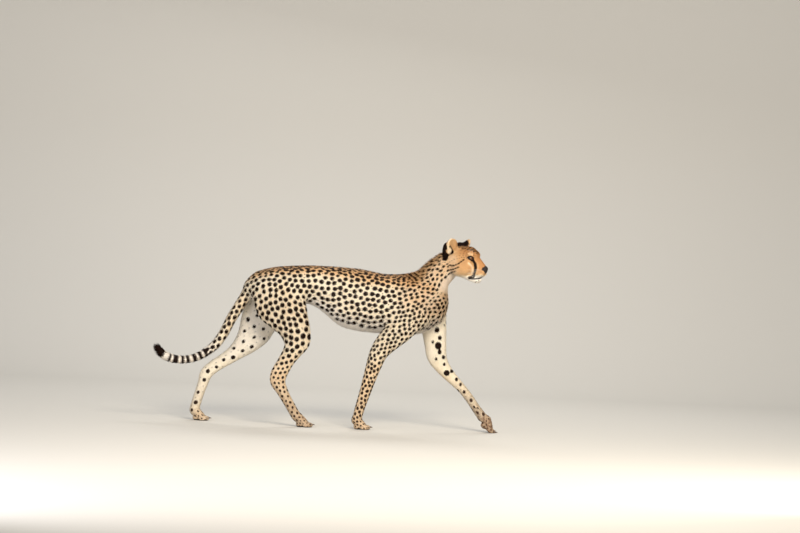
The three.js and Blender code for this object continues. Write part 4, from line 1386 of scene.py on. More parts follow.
def scaled(tree, vector, by):
    return add_node(tree, "ShaderNodeVectorMath", {0: vector, "Scale": by}, operation="SCALE").outputs[0]


def pebbles(tree, place, size_mm):
    made = add_node(tree, "ShaderNodeTexVoronoi", {"Vector": place, "Scale": 1 / (size_mm * MM)})
    return made.outputs["Distance"]


def bumped(tree, height, strength, rise_mm):
    inputs = {"Height": height, "Strength": strength, "Distance": rise_mm * MM}
    return add_node(tree, "ShaderNodeBump", inputs).outputs["Normal"]


def coat_colour_group():
    tree = bpy.data.node_groups.new("coat_colour", "ShaderNodeTree")
    tree.interface.new_socket("Colour", in_out="OUTPUT", socket_type="NodeSocketColor")
    place = add_node(tree, "ShaderNodeTexCoord").outputs["Object"]
    wave = maths(tree, "MULTIPLY_ADD", noise(tree, place, SPOT_WAVE_MM), 3.4, -1.7)
    inked = maths(tree, "ADD", stored(tree, "ink"), wave)
    black = ranged(tree, inked, -0.9, 0.9, "SMOOTHSTEP")
    patches = maths(tree, "MULTIPLY_ADD", noise(tree, place, PATCH_MM), 0.24, -0.12)
    ground = colour_ramp(tree, maths(tree, "ADD", stored(tree, "tawny"), patches), GROUND)
    orange = maths(tree, "MULTIPLY", stored(tree, "warm"), 0.5)
    colour = mix_colour(tree, orange, ground, linear(ORANGE))
    clods = maths(tree, "MULTIPLY_ADD", noise(tree, place, 14), 1.6, 0.1)
    caked = maths(tree, "MULTIPLY", stored(tree, "dust"), clods)
    earthy = mix_colour(tree, maths(tree, "MINIMUM", caked, 0.9), colour, linear(EARTH))
    dusted = mix_colour(tree, maths(tree, "MULTIPLY", caked, 0.5), linear(BLACK), linear(EARTH))
    add_node(tree, "NodeGroupOutput", {"Colour": mix_colour(tree, black, earthy, dusted)})
    return tree


COAT_COLOUR = coat_colour_group()
print("colour group:", len(COAT_COLOUR.nodes), "nodes")


# %% Materials of skin and hair
def new_material(name):
    made = bpy.data.materials.new(name)
    made.use_nodes = True
    return made, made.node_tree, made.node_tree.nodes["Principled BSDF"]


def skin_material():
    """Hide with a nap of fine under-hair, without gloss. Nose, lips and pads are bare, black and pebbled."""
    made, tree, shader = new_material("napped_hide")
    place = add_node(tree, "ShaderNodeTexCoord").outputs["Object"]
    group = add_node(tree, "ShaderNodeGroup", node_tree=COAT_COLOUR)
    bare = ranged(tree, stored(tree, "bare"), -0.3, 0.5)
    nap = maths(tree, "MULTIPLY", noise(tree, place, 1.6, detail=3), 0.7)
    grain = maths(tree, "ADD", nap, maths(tree, "MULTIPLY", pebbles(tree, place, 1.3), bare))
    feed(tree, shader, {
        "Base Color": mix_colour(tree, bare, group.outputs["Colour"], linear("1e1715")),
        "Roughness": maths(tree, "MULTIPLY_ADD", bare, -0.32, 0.72),
        "Normal": bumped(tree, grain, 0.35, 0.5),
        "Specular IOR Level": 0.35,
    })
    return made


def hair_material():
    """Short guard hair: each tuft one colour, paler towards its tip, and nearly without gloss."""
    made, tree, shader = new_material("short_guard_hair")
    group = add_node(tree, "ShaderNodeGroup", node_tree=COAT_COLOUR)
    along = add_node(tree, "ShaderNodeSeparateXYZ", {0: stored(tree, "tuft", "Vector")}).outputs["X"]
    tip = maths(tree, "MULTIPLY_ADD", along, 0.28, 0.88)
    shade = maths(tree, "MULTIPLY", tip, maths(tree, "MULTIPLY_ADD", stored(tree, "tone"), 0.26, 0.87))
    own = add_node(tree, "ShaderNodeNewGeometry").outputs["Normal"]
    root = stored(tree, "root_normal", "Vector")
    soft = add_node(tree, "ShaderNodeMix", {0: 0.62, 4: own, 5: root}, data_type="VECTOR")
    facing = add_node(tree, "ShaderNodeVectorMath", {0: soft.outputs[1]}, operation="NORMALIZE")
    feed(tree, shader, {
        "Base Color": scaled(tree, group.outputs["Colour"], shade),
        "Normal": facing.outputs["Vector"],
        "Roughness": 0.62,
        "Specular IOR Level": 0.04,
    })
    return made


HIDE, HAIR = skin_material(), hair_material()
skin.data.materials.append(HIDE)
print("materials:", HIDE.name, HAIR.name)

# %% [markdown]
# ## Tufts of hair
# Real fur is far too many hairs to model, and particle hair is lost when a model is exported. So the coat
# is made of tufts: three fine closed spikes that share a root, lie along the coat and overlap like thatch.
# Geometry Nodes strew the roots evenly over the skin, turn each tuft to the lie of the hair, size it by the
# length stored there, and carry the markings from the root into the tuft. The long hair of the neck and the
# tail gets a bend.


# %% The tuft tree
def new_tree(name, output, inputs):
    """A Geometry Nodes tree with one output. Each named input has its kind and its first value, if any."""
    tree = bpy.data.node_groups.new(name, "GeometryNodeTree")
    for key, (kind, *first) in inputs.items():
        made = tree.interface.new_socket(key, in_out="INPUT", socket_type="NodeSocket" + kind)
        if first:
            made.default_value = first[0]
    tree.interface.new_socket(output, in_out="OUTPUT", socket_type="NodeSocketGeometry")
    return tree, add_node(tree, "NodeGroupInput").outputs


def named(tree, name, kind="FLOAT"):
    """A named attribute, in Geometry Nodes."""
    return add_node(tree, "GeometryNodeInputNamedAttribute", {"Name": name}, data_type=kind).outputs[0]


def random_number(tree, low, high, seed, step):
    """A number for each tuft. The step keeps the numbers that share a seed apart."""
    inputs = {2: low, 3: high, "Seed": maths(tree, "ADD", seed, step)}
    return add_node(tree, "FunctionNodeRandomValue", inputs, data_type="FLOAT").outputs[1]


HAIRS = [(-1.0, 0.86), (0.0, 1.0), (1.0, 0.93)]  # each hair's side of the tuft and its share of the length


def tuft_shape(tree, segments, bend):
    """Three spikes along x, one unit long and about one unit thick, which fan out and droop."""
    hairs = []
    for side, share in HAIRS:
        cone = add_node(
            tree, "GeometryNodeMeshCone",
            {"Vertices": 3, "Side Segments": segments, "Radius Top": 0.0, "Radius Bottom": 0.5, "Depth": 1.0},
        )
        laid = add_node(
            tree, "GeometryNodeTransform",
            {"Geometry": cone.outputs["Mesh"], "Rotation": (0, math.pi / 2, 0), "Scale": (share, 1.0, 0.8)},
        )
        place = add_node(tree, "GeometryNodeInputPosition").outputs[0]
        x = add_node(tree, "ShaderNodeSeparateXYZ", {0: place}).outputs["X"]
        fan = maths(tree, "MULTIPLY_ADD", x, 1.5 * side, 0.8 * side)
        droop = maths(tree, "MULTIPLY", maths(tree, "MULTIPLY", x, x), bend)
        offset = add_node(tree, "ShaderNodeCombineXYZ", {"Y": fan, "Z": droop}).outputs[0]
        moved = add_node(tree, "GeometryNodeSetPosition", {"Geometry": laid.outputs[0], "Offset": offset})
        hairs.append(moved.outputs[0])
    joined = add_node(tree, "GeometryNodeJoinGeometry")
    for hair in hairs:
        tree.links.new(hair, joined.inputs[0])
    return joined.outputs[0]


def store(tree, geometry, name, kind, domain, value):
    inputs = {"Geometry": geometry, "Name": name, "Value": value}
    return add_node(tree, "GeometryNodeStoreNamedAttribute", inputs, data_type=kind, domain=domain).outputs[0]


DENSEST = 900000.0  # roots to the square metre, more than the spacing ever allows
UV_PATCH = 0.003  # how much of the unwrap one tuft takes


def tuft_tree(name, segments):
    tree, given = new_tree(name, "Coat", {
        "Skin": ["Geometry"], "Root Spacing": ["Float", 0.004], "Bend": ["Float", -0.5],
        "Unevenness": ["Float", 0.2], "Seed": ["Int", 1], "Hair": ["Material"],
    })
    seed = given["Seed"]
    spread = add_node(
        tree, "GeometryNodeDistributePointsOnFaces",
        {"Mesh": given["Skin"], "Distance Min": given["Root Spacing"], "Density Max": DENSEST, "Seed": seed},
        distribute_method="POISSON",
    ).outputs
    bare = {0: named(tree, "bare"), 1: -0.25}
    hairless = add_node(tree, "FunctionNodeCompare", bare, operation="GREATER_THAN").outputs[0]
    roots = {"Geometry": spread["Points"], "Selection": hairless}
    roots = add_node(tree, "GeometryNodeDeleteGeometry", roots)
    upright = add_node(
        tree, "FunctionNodeAxesToRotation", {0: spread["Normal"], 1: named(tree, "lie", "FLOAT_VECTOR")},
        primary_axis="Z", secondary_axis="X",
    ).outputs[0]
    lift = maths(tree, "MULTIPLY", named(tree, "lift"), random_number(tree, -1.35, -0.75, seed, 0.0))
    swing = maths(tree, "MULTIPLY", given["Unevenness"], random_number(tree, -1.0, 1.0, seed, 1.0))
    angles = add_node(tree, "ShaderNodeCombineXYZ", {"Y": lift, "Z": swing}).outputs[0]
    lean = add_node(tree, "FunctionNodeEulerToRotation", {0: angles}).outputs[0]
    tilted = add_node(tree, "FunctionNodeRotateRotation", {0: upright, 1: lean}, rotation_space="LOCAL")
    long = maths(tree, "MULTIPLY", named(tree, "hair_length"), random_number(tree, 0.8, 1.12, seed, 2.0))
    thick = named(tree, "hair_thick")
    size = add_node(tree, "ShaderNodeCombineXYZ", {"X": long, "Y": thick, "Z": thick}).outputs[0]
    place = add_node(tree, "GeometryNodeInputPosition").outputs[0]
    shape = store(tree, tuft_shape(tree, segments, given["Bend"]), "tuft", "FLOAT_VECTOR", "POINT", place)
    placed = add_node(
        tree, "GeometryNodeInstanceOnPoints",
        {"Points": roots.outputs[0], "Instance": shape, "Rotation": tilted.outputs[0], "Scale": size},
    ).outputs[0]
    toned = store(tree, placed, "tone", "FLOAT", "INSTANCE", random_number(tree, 0.0, 1.0, seed, 3.0))
    whole = add_node(tree, "GeometryNodeRealizeInstances", {0: toned}).outputs[0]
    local = {0: named(tree, "tuft", "FLOAT_VECTOR"), 1: (1.0, 0.2, 0.0)}
    local = add_node(tree, "ShaderNodeVectorMath", local, operation="MULTIPLY").outputs[0]
    patch = {0: local, 1: (UV_PATCH, UV_PATCH, 0), 2: named(tree, "root_uv", "FLOAT_VECTOR")}
    patch = add_node(tree, "ShaderNodeVectorMath", patch, operation="MULTIPLY_ADD").outputs[0]
    mapped = store(tree, whole, "OFBake", "FLOAT2", "CORNER", patch)
    for gone in ("root_uv", "lie", "lift", "hair_length", "hair_thick", "bare"):
        mapped = add_node(tree, "GeometryNodeRemoveAttribute", {"Geometry": mapped, "Name": gone}).outputs[0]
    finished = add_node(tree, "GeometryNodeSetMaterial", {"Geometry": mapped, "Material": given["Hair"]})
    add_node(tree, "NodeGroupOutput", {"Coat": finished.outputs[0]})
    return tree


STRAIGHT_TUFT = tuft_tree("straight_tuft", segments=1)
BENT_TUFT = tuft_tree("bent_tuft", segments=2)
print("tuft trees:", STRAIGHT_TUFT.name, BENT_TUFT.name)


# %% Running a tree
def socket_of(tree, name):
    """The identifier that a modifier uses for a tree's named input."""
    return next(s.identifier for s in tree.interface.items_tree if s.name == name and s.in_out == "INPUT")


def grown(source, tree, name, **inputs):
    """Runs a tree on an object, and gives its result as a plain mesh object."""
    modifier = source.modifiers.new(name, "NODES")
    modifier.node_group = tree
    for key, value in inputs.items():
        modifier[socket_of(tree, key.replace("_", " "))] = value
    bpy.context.view_layer.update()
    evaluated = source.evaluated_get(bpy.context.evaluated_depsgraph_get())
    mesh = bpy.data.meshes.new_from_object(evaluated)
    mesh.name = name
    source.modifiers.remove(modifier)
    return linked(name, mesh)


print("a tree's first input is", socket_of(STRAIGHT_TUFT, "Root Spacing"))

# %% [markdown]
# ## The coat, piece by piece
# The skin is shared out to nine pieces by the part that has most say, so that each stays small enough to
# handle. The roots stand closer where the hair is short, because short hair covers less.

# %% Growing the coat
THICK = 0.42 + 0.055 * LENGTH  # of one spike, in millimetres
LIFT = np.arcsin(np.clip(DEPTH / LENGTH, 0.12, 0.75))
NAPE = SHARE["neck"] * smooth_step(0.5, 0.95, neck_place[:, 1])
FRINGE = SHARE["trunk"] * smooth_step(-0.6, -0.9, trunk_place[:, 1]) * smooth_step(-150, -60, P[:, 0])
LIFT = LIFT + 0.6 * NAPE + 0.2 * FRINGE + 0.22 * SHARE["tail"] * smooth_step(-790, -840, P[:, 0])
CARRIED = {
    "ink": INK, "tawny": TAWNY, "warm": WARM, "dust": DUST, "bare": BARE, "lift": LIFT,
    "hair_length": LENGTH * MM, "hair_thick": THICK * MM,
}
COATS = {  # parts, roots' spacing in millimetres, tree, bend
    "coat_trunk_right": (["trunk"], 3.5, STRAIGHT_TUFT, 0.0),
    "coat_trunk_left": (["trunk"], 3.5, STRAIGHT_TUFT, 0.0),
    "coat_neck": (["neck"], 3.1, BENT_TUFT, -0.8),
    "coat_head": (["skull", *EARS], 1.9, STRAIGHT_TUFT, 0.0),
    "coat_tail": (["tail"], 4.2, BENT_TUFT, -0.6),
    **{"coat_" + name: ([name, name + "_paw"], 3.0, STRAIGHT_TUFT, 0.0) for name in LEGS},
}
FACE_SHARE = {name: SHARE[name][skin_faces].mean(axis=1) for name in PARTS}
MOST_SAY = np.array(PARTS)[np.argmax([FACE_SHARE[name] for name in PARTS], axis=0)]
FACE_Y = P[skin_faces, 1].mean(axis=1)


def bed_of(name, faces):
    """The part of the skin that one piece of the coat grows from, with all that the hair needs to know."""
    used, renumbered = np.unique(skin_faces[faces], return_inverse=True)
    bed = mesh_object(name + "_bed", P[used], renumbered.reshape(-1, 3))
    for key, values in CARRIED.items():
        put(bed.data, key, values[used])
    put(bed.data, "lie", LIE[used], "FLOAT_VECTOR")
    put(bed.data, "root_normal", NORMAL[used], "FLOAT_VECTOR")
    uv = SKIN_UV[faces].reshape(-1, 2)
    put(bed.data, "root_uv", np.concatenate([uv, np.zeros((len(uv), 1))], axis=1), "FLOAT_VECTOR", "CORNER")
    return bed


def grow_coat(name, parts, spacing, tree, bend, seed):
    chosen = np.isin(MOST_SAY, parts) & (BARE[skin_faces].min(axis=1) < 0)
    if name.startswith("coat_trunk"):
        chosen &= (FACE_Y < 0) == name.endswith("right")
    if parts[0] == "skull":
        chosen &= lid_opening(IN_HEAD[skin_faces].mean(axis=1)) > 1.6
    bed = bed_of(name, np.flatnonzero(chosen))
    coat = grown(bed, tree, name, Root_Spacing=spacing * MM, Bend=bend, Seed=seed, Hair=HAIR)
    bpy.data.objects.remove(bed)
    return coat


coats = [grow_coat(name, *rule, seed=20 + i) for i, (name, rule) in enumerate(COATS.items())]
for coat in coats:
    print(coat.name, len(coat.data.polygons), "faces")

# %% [markdown]
# ## Eyes
# A cheetah's eye is amber with a round pupil and a dark rim, under a clear, wet cornea that bulges a
# little. The eyeball is a ball of rings round its line of sight, so that one number, the angle from the
# middle, can colour pupil, iris and rim, and the bulge of the cornea is a small bell on the same angle.

# %% Eyeballs
GAZE = direction([0.85, 0.52, 0.03])
PUPIL, IRIS = 11.0, 46.0  # degrees from the line of sight
CORNEA_RISE = 1.1
IRIS_WAVES = 9.0  # how often the fibres of the iris turn lighter and darker


def eye_material():
    """A glass eye: a fibrous amber iris, darkened with painted shade from the brow, under a clear polished
    cornea.
    """
    made, tree, shader = new_material("amber_glass_eye")
    place = stored(tree, "eye_place", "Vector")
    angle = add_node(tree, "ShaderNodeSeparateXYZ", {0: place}).outputs["Z"]
    waves = {"Vector": place, "Scale": IRIS_WAVES, "Detail": 3.0}
    fibres = add_node(tree, "ShaderNodeTexNoise", waves).outputs["Fac"]
    # amber darker than a living eye's: the darkening is painted shade from the brow
    iris = colour_ramp(tree, angle, [
        (0.0, "030202"), (PUPIL / 90, "030202"), ((PUPIL + 1.5) / 90, "472508"), (0.24, "744714"),
        (0.38, "58300c"), ((IRIS - 6) / 90, "2c1808"), ((IRIS - 1) / 90, "120a06"), (0.62, "0c0806"),
    ])
    lit = scaled(tree, iris, maths(tree, "MULTIPLY_ADD", fibres, 1.3, 0.35))
    feed(tree, shader, {
        "Base Color": lit, "Roughness": 0.25, "IOR": 1.38, "Coat Weight": 0.5, "Coat Roughness": 0.02,
    })
    return made


def eyeball(name, side, rings=28, around=40):
    gaze = HEAD_AXES @ (GAZE * [1, side, 1])
    wide = direction(np.cross(gaze, [0, 0, 1]))
    axes = np.stack([wide, np.cross(wide, gaze), gaze], axis=1)
    low, high = (np.array(corner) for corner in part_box(name))
    centre, radius = (low + high) / 2, (high - low)[2] / 2
    theta = np.concatenate([[0], np.repeat(np.linspace(0, math.pi, rings + 1)[1:-1], around), [math.pi]])
    phi = np.concatenate([[0], np.tile(2 * math.pi * np.arange(around) / around, rings - 1), [0]])
    r = radius + CORNEA_RISE * MM * bell(np.degrees(theta), 26)
    local = [np.sin(theta) * np.cos(phi), np.sin(theta) * np.sin(phi), np.cos(theta)]
    local = np.stack(local, axis=1) * r[:, None]
    last = len(theta) - 1
    faces = [(0, 1 + i, 1 + (i + 1) % around) for i in range(around)]
    for ring in range(rings - 2):
        a, b = 1 + ring * around, 1 + (ring + 1) * around
        faces += [(a + i, b + i, b + (i + 1) % around, a + (i + 1) % around) for i in range(around)]
    a = 1 + (rings - 2) * around
    faces += [(last, a + (i + 1) % around, a + i) for i in range(around)]
    mesh = bpy.data.meshes.new("glass_" + name)
    mesh.from_pydata((centre + local @ axes.T).tolist(), [], faces)
    mesh.shade_smooth()
    ringwise = np.stack([np.cos(phi), np.sin(phi), theta / (math.pi / 2)], axis=1)
    put(mesh, "eye_place", ringwise, "FLOAT_VECTOR")
    mesh.materials.append(EYE)
    return linked("glass_" + name, mesh)


EYE = eye_material()
eyes = [eyeball("eye_right", -1), eyeball("eye_left", 1)]
print("eyes:", [eye.name for eye in eyes], len(eyes[0].data.polygons), "faces each")

# %% [markdown]
# ## The margins of the eyelids
# A lid ends in a smooth, hairless black margin that lies on the eye. It is a thin tube that follows the
# almond between the lids: the script lays a closed loop of points on a ball a little larger than the eye,
# and Geometry Nodes turn the loop into a tube that is thinnest at the two corners.

# %% Lid margins
MARGIN_RADIUS = 1.3


def leather_material():
    """Moist black leather: fairly dark and smooth, with a fine pebble that breaks up the highlight."""
    made, tree, shader = new_material("moist_leather")
    place = add_node(tree, "ShaderNodeTexCoord").outputs["Object"]
    feed(tree, shader, {
        "Base Color": linear("0e0a08"), "Roughness": 0.42, "Specular IOR Level": 0.3,
        "Normal": bumped(tree, pebbles(tree, place, 1.1), 0.25, 0.3),
    })
    return made


def margin_tree():
    tree, given = new_tree("lid_margin", "Margins", {
        "Loops": ["Geometry"], "Tube Radius": ["Float", 0.0017], "Leather": ["Material"],
    })
    curve = add_node(tree, "GeometryNodeMeshToCurve", {"Mesh": given["Loops"]}).outputs[0]
    ring = {"Resolution": 10, "Radius": given["Tube Radius"]}
    ring = add_node(tree, "GeometryNodeCurvePrimitiveCircle", ring).outputs[0]
    full = named(tree, "fullness")
    tube = add_node(tree, "GeometryNodeCurveToMesh", {"Curve": curve, "Profile Curve": ring, "Scale": full})
    smooth = add_node(tree, "GeometryNodeSetShadeSmooth", {0: tube.outputs[0]}).outputs[0]
    whole = add_node(tree, "GeometryNodeRealizeInstances", {0: smooth}).outputs[0]
    finished = add_node(tree, "GeometryNodeSetMaterial", {"Geometry": whole, "Material": given["Leather"]})
    add_node(tree, "NodeGroupOutput", {"Margins": finished.outputs[0]})
    return tree


def lid_loop(side, steps=26):
    """The almond between the lids on a ball round the eye, and how full the margin is along it."""
    loop = []
    for rise, way in zip(LID_RISE, (1, -1)):
        radius = (LID_HALF**2 + rise**2) / (2 * rise)
        most = math.asin(LID_HALF / radius)
        angles = way * np.linspace(-most, most, steps)[:-1]
        loop += [(radius * math.sin(a), way * (radius * math.cos(a) + rise - radius)) for a in angles]
    across, up = np.array(loop).T
    out = np.sqrt((EYE_RADIUS + 0.8) ** 2 - across**2 - up**2)
    points = EYE_CENTRE + across[:, None] * EYE_ACROSS + up[:, None] * EYE_UP + out[:, None] * EYE_LOOK
    return points * [1, side, 1], 1.0 - 0.4 * smooth_step(8, 13, np.abs(across))


def lid_margins():
    points, fullness, edges = [], [], []
    for side in (-1, 1):
        loop, full = lid_loop(side)
        first = sum(len(p) for p in points)
        edges += [(first + i, first + (i + 1) % len(loop)) for i in range(len(loop))]
        points.append(loop @ HEAD_AXES.T + HEAD_PIVOT)
        fullness.append(full)
    mesh = bpy.data.meshes.new("lid_loops")
    mesh.from_pydata((np.concatenate(points) * MM).tolist(), edges, [])
    put(mesh, "fullness", np.concatenate(fullness))
    source = linked("lid_loops", mesh)
    leather = leather_material()
    made = grown(source, margin_tree(), "lid_margins", Tube_Radius=MARGIN_RADIUS * MM, Leather=leather)
    bpy.data.objects.remove(source)
    return made


margins = lid_margins()
print("lid margins:", len(margins.data.polygons), "faces")

# %% [markdown]
# ## Claws
# A cheetah can't draw its claws fully in, so they show: blunt, dark horn, curved down and flattened from
# the sides. Each grows from the frame's own claw: the root at the upper back of that solid and the tip at
# its lower front. Geometry Nodes bend a tapering tube through the two ends.


# %% Claws
def claw_material():
    """Horn: dark, a little glossy, streaked along its length, worn dull and pale at the tip."""
    made, tree, shader = new_material("claw_horn")
    place = add_node(tree, "ShaderNodeTexCoord").outputs["Object"]
    along = stored(tree, "along")
    streaks = noise(tree, place, 1.2, detail=3)
    worn = maths(tree, "MULTIPLY", maths(tree, "POWER", along, 3.0), 0.7)
    horn = mix_colour(tree, streaks, linear("2b211c"), linear("4a3a30"))
    feed(tree, shader, {
        "Base Color": mix_colour(tree, worn, horn, linear("9a8670")),
        "Roughness": maths(tree, "MULTIPLY_ADD", along, 0.25, 0.3),
    })
    return made


def claw_tree():
    tree, given = new_tree("claw", "Claws", {
        "Roots": ["Geometry"], "Root Radius": ["Float", 0.0035], "Flatness": ["Float", 0.72],
        "Arch": ["Float", 0.16], "Horn": ["Material"],
    })
    peak = add_node(tree, "ShaderNodeCombineXYZ", {"X": 0.55, "Z": given["Arch"]}).outputs[0]
    curve = {"Resolution": 10, "Start": (0, 0, 0), "Middle": peak, "End": (1, 0, 0)}
    curve = add_node(tree, "GeometryNodeCurveQuadraticBezier", curve)
    share = add_node(tree, "GeometryNodeSplineParameter").outputs["Factor"]
    marked = store(tree, curve.outputs[0], "along", "FLOAT", "POINT", share)
    taper = maths(tree, "POWER", maths(tree, "SUBTRACT", 1.0, share), 0.6)
    radius = maths(tree, "MAXIMUM", taper, 0.05)
    thin = add_node(tree, "GeometryNodeSetCurveRadius", {"Curve": marked, "Radius": radius}).outputs[0]
    ring = add_node(tree, "GeometryNodeCurvePrimitiveCircle", {"Resolution": 12, "Radius": 1.0}).outputs[0]
    tube = {"Curve": thin, "Profile Curve": ring, "Scale": radius, "Fill Caps": True}
    tube = add_node(tree, "GeometryNodeCurveToMesh", tube)
    place = add_node(tree, "GeometryNodeInputPosition").outputs[0]
    apart = add_node(tree, "ShaderNodeSeparateXYZ", {0: place}).outputs
    width = maths(tree, "MULTIPLY", given["Root Radius"], given["Flatness"])
    sized = add_node(tree, "ShaderNodeCombineXYZ", {
        "X": apart["X"], "Y": maths(tree, "MULTIPLY", apart["Y"], width),
        "Z": maths(tree, "MULTIPLY", apart["Z"], given["Root Radius"]),
    }).outputs[0]
    unit_claw = add_node(tree, "GeometryNodeSetPosition", {"Geometry": tube.outputs[0], "Position": sized})
    scale = add_node(tree, "ShaderNodeCombineXYZ", {"X": named(tree, "reach"), "Y": 1.0, "Z": 1.0}).outputs[0]
    way = {0: named(tree, "way", "FLOAT_VECTOR"), 1: (0.0, 0.0, 1.0)}
    way = add_node(tree, "FunctionNodeAxesToRotation", way, primary_axis="X", secondary_axis="Z").outputs[0]
    placed = add_node(
        tree, "GeometryNodeInstanceOnPoints",
        {"Points": given["Roots"], "Instance": unit_claw.outputs[0], "Rotation": way, "Scale": scale},
    )
    whole = add_node(tree, "GeometryNodeRealizeInstances", {0: placed.outputs[0]}).outputs[0]
    smooth = add_node(tree, "GeometryNodeSetShadeSmooth", {0: whole}).outputs[0]
    finished = add_node(tree, "GeometryNodeSetMaterial", {"Geometry": smooth, "Material": given["Horn"]})
    add_node(tree, "NodeGroupOutput", {"Claws": finished.outputs[0]})
    return tree


def roots_object(name, points, ways, reaches):
    mesh = bpy.data.meshes.new(name)
    mesh.from_pydata(np.asarray(points).tolist(), [], [])
    put(mesh, "way", ways, "FLOAT_VECTOR")
    put(mesh, "reach", reaches)
    return linked(name, mesh)


CLAW_TREE, HORN = claw_tree(), claw_material()


def claws_of(leg):
    """The claws of one paw, and the solids that they stand for."""
    solids = sorted(node for node in NODES if node.startswith(leg) and "claw" in node)
    ends = []
    for solid in solids:
        low, high = (np.array(corner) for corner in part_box(solid))
        middle = (low[1] + high[1]) / 2
        ends.append(([low[0], middle, high[2] - 3.4 * MM], [high[0], middle, low[2] + 0.8 * MM]))
    ends = np.array(ends)
    ways = ends[:, 1] - ends[:, 0]
    reach = np.linalg.norm(ways, axis=1)
    source = roots_object(leg + "_claw_roots", ends[:, 0], ways / reach[:, None], reach)
    claws = grown(source, CLAW_TREE, "claws_" + leg, Horn=HORN)
    bpy.data.objects.remove(source)
    return claws, solids


claw_sets = [claws_of(leg) for leg in LEGS]
for claws, solids in claw_sets:
    print(claws.name, len(claws.data.polygons), "faces for", len(solids), "claws")

# %% [markdown]
# ## Whiskers
# Four rows of stiff white whiskers stand on each side of the upper lip, each from a dark dot, with a few
# more over the eyes. They taper to nothing and sweep back, so a curved tube with a shrinking radius is
# enough.

# %% Whiskers
WHISKER_ROWS = [(-38, 4), (-45, 5), (-52, 5), (-59, 4)]  # z of each row and how many stand in it


def whisker_material():
    """A stiff, pale bristle of keratin."""
    made, tree, shader = new_material("whisker_keratin")
    colour = mix_colour(tree, stored(tree, "along"), linear("e9e2d4"), linear("fbf8f1"))
    feed(tree, shader, {"Base Color": colour, "Roughness": 0.35})
    return made


def whisker_roots():
    """Roots, ways and lengths of all whiskers, in the head's frame."""
    rng = np.random.default_rng(31)
    roots, ways, reaches = [], [], []
    for side in (-1, 1):
        for row, (z, count) in enumerate(WHISKER_ROWS):
            for i in range(count):
                x = 166 - 7 * i - 2 * (row % 2)
                roots.append([x, side * (19 + 3.0 * i), z + 0.6 * i])
                back = -0.35 - 0.12 * i + rng.normal(0, 0.05)
                ways.append([back, side, 0.12 - 0.17 * row + rng.normal(0, 0.06)])
                reaches.append(rng.uniform(52, 66) - 5 * abs(i - 2))
        for i in range(3):
            roots.append([122 - 5 * i, side * (30 + 3 * i), 50 + 2 * i])
            ways.append([0.1 - 0.25 * i, side * 0.5, 0.9])
            reaches.append(34 - 4 * i)
    return np.array(roots), unit(np.array(ways)), np.array(reaches)


WHISKER_TREE, KERATIN = claw_tree(), whisker_material()
roots, ways, reaches = whisker_roots()
roots = settled((roots @ HEAD_AXES.T + HEAD_PIVOT).astype(np.float32), passes=5, most=8.0)
ways = ways @ HEAD_AXES.T
source = roots_object("whisker_roots", (roots - 2 * ways) * MM, ways, reaches * MM)
bristle = {"Root_Radius": 0.26 * MM, "Flatness": 1.0, "Arch": 7.0 * MM, "Horn": KERATIN}
whiskers = grown(source, WHISKER_TREE, "whiskers", **bristle)
bpy.data.objects.remove(source)
print("whiskers:", len(reaches), "in", len(whiskers.data.polygons), "faces")

# %% [markdown]
# ## Stage, light and camera
# A pale floor that sweeps up into a pale wall, a broad soft lamp high on the near side, two weaker ones to
# fill and one behind to lift the outline from the wall. The wall can't be seen from its back, so that the
# animal shows from every side. The camera stands twenty metres off the animal's right side, as a long lens
# does, and looks down a little.

# %% Floor and backdrop
SIZE = np.array(CAD_BOX[1]) - np.array(CAD_BOX[0])


def studio_floor():
    """A floor that curves up into a wall behind the animal; the wall cannot be seen from its back."""
    near, back, top, bend, far = -30.0, 4.0, 7.0, 1.5, 30.0
    outline = [(near, 0.0), (back - bend, 0.0)]
    for a in np.linspace(0, math.pi / 2, 17)[1:]:
        outline.append((back - bend + bend * math.sin(a), bend - bend * math.cos(a)))
    outline.append((back, top))
    xs = np.linspace(near, far, 31)
    points = [(x, y, z) for y, z in outline for x in xs]
    columns = len(xs)
    faces = [
        (r * columns + c, r * columns + c + 1, (r + 1) * columns + c + 1, (r + 1) * columns + c)
        for r in range(len(outline) - 1)
        for c in range(columns - 1)
    ]
    plate = [(near, back - bend, 0), (far, back - bend, 0), (far, far, 0), (near, far, 0)]  # behind the wall
    faces.append(tuple(range(len(points), len(points) + 4)))
    mesh = bpy.data.meshes.new("studio_floor")
    mesh.from_pydata(points + plate, [], faces)
    mesh.shade_smooth()
    paint, tree, shader = new_material("matt_emulsion")  # a chalky wall paint, without any shine
    feed(tree, shader, {"Base Color": linear("c6c3bc"), "Roughness": 0.9, "Specular IOR Level": 0.2})
    back_side = add_node(tree, "ShaderNodeNewGeometry").outputs["Backfacing"]
    clear = add_node(tree, "ShaderNodeBsdfTransparent").outputs[0]
    one_way = add_node(tree, "ShaderNodeMixShader", {0: back_side, 1: shader.outputs[0], 2: clear})
    feed(tree, tree.nodes["Material Output"], {"Surface": one_way.outputs[0]})
    mesh.materials.append(paint)
    return linked("studio_floor", mesh)


studio_floor()
print("floor and wall set")


# %% Lamps
def softbox(name, place, aim, size, watts, colour, mirrored=True):
    lamp = bpy.data.lights.new(name, "AREA")
    lamp.shape = "RECTANGLE"
    lamp.size, lamp.size_y = size
    lamp.energy = watts
    lamp.color = linear(colour)[:3]
    made = linked(name, lamp)
    made.location = place
    made.visible_glossy = mirrored
    made.rotation_euler = (Vector(aim) - Vector(place)).to_track_quat("-Z", "Y").to_euler()


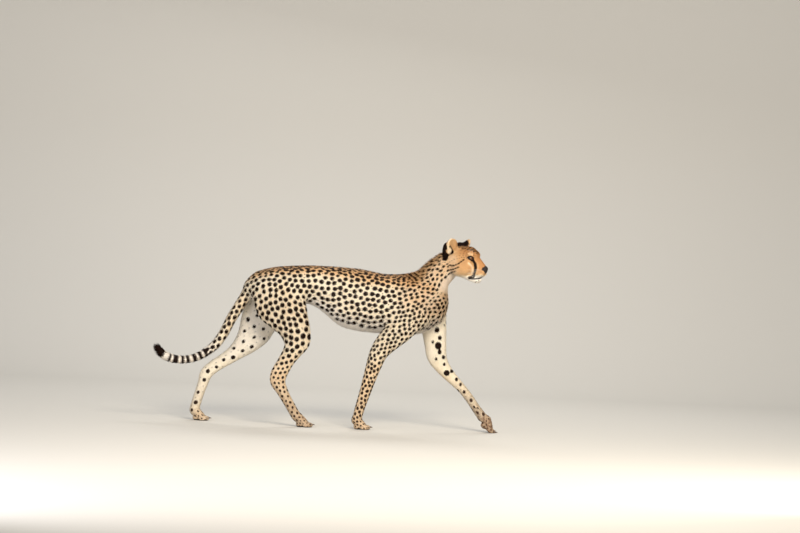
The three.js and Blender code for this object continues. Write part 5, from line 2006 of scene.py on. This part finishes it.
softbox("key_softbox", (1.3, -4.1, 3.3), (0, 0, 0.5), (2.2, 1.8), 238, "fff3e0")
softbox("fill_softbox", (-2.6, -4.2, 1.1), (0, 0, 0.45), (2.6, 1.6), 85, "f4f4ff")
softbox("low_softbox", (2.8, -2.8, 0.8), (0.4, 0, 0.6), (1.6, 1.2), 38, "fff6ea", False)
softbox("back_softbox", (0.4, 2.4, 3.4), (0, 0, 0.6), (3.0, 1.2), 70, "ffffff")
SKY_STRENGTH = 0.6
world = bpy.data.worlds.new("studio_air")
world.use_nodes = True
sky = world.node_tree.nodes["Background"]
feed(world.node_tree, sky, {"Color": linear("f2f4f8"), "Strength": SKY_STRENGTH})
bpy.context.scene.world = world
bpy.context.scene.view_settings.view_transform = "Standard"
print("four lamps and", SKY_STRENGTH, "of sky")

# %% Camera
CAMERA_DISTANCE = 20.0
VIEW_WIDTH = 2.3 * SIZE[0]  # what the frame takes in, at the animal
RISE = 2.5  # degrees that the camera looks down
ROLL = 2.5  # degrees that it leans
AIM = Vector((0.2 * SIZE[0], 0, 0.841 * CAD_BOX[1][2]))


def place_camera():
    camera = bpy.data.cameras.new("camera")
    camera.sensor_width = 36
    camera.lens = 36 * CAMERA_DISTANCE / VIEW_WIDTH
    camera.clip_end = 60
    made = linked("camera", camera)
    rise, roll = math.radians(RISE), math.radians(ROLL)
    away = Vector((0, -math.cos(rise), math.sin(rise)))
    right = Vector((math.cos(roll), 0, math.sin(roll)))
    up = away.cross(right).normalized()
    right = up.cross(away)
    axes = Matrix((right, up, away)).transposed()
    made.matrix_world = Matrix.Translation(AIM + away * CAMERA_DISTANCE) @ axes.to_4x4()
    bpy.context.scene.camera = made
    return made


camera = place_camera()
print("camera", round(camera.location.z, 2), "m above the floor")

# %% [markdown]
# ## Hand over to the frame
# Every piece rides on the one body of this still model, and the plain solids that they stand for are hidden.

# %% Riding on the body, and hidden solids
FLESH = sorted(node for node in NODES if "claw" not in node and not node.startswith("eye_"))
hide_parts(*FLESH)
for claws, solids in claw_sets:
    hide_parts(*solids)
for eye, solid in zip(eyes, ("eye_right", "eye_left")):
    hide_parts(solid)
PIECES = [(skin, "coat"), *((coat, "coat") for coat in coats), *((eye, "eye") for eye in eyes)]
PIECES += [*((claws, "claw") for claws, _ in claw_sets), (whiskers, "whisker"), (margins, "nose")]
for piece, slot in PIECES:
    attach(piece, "root")
print("pieces:", len(PIECES), "with", sum(len(piece.data.polygons) for piece, _ in PIECES), "faces")
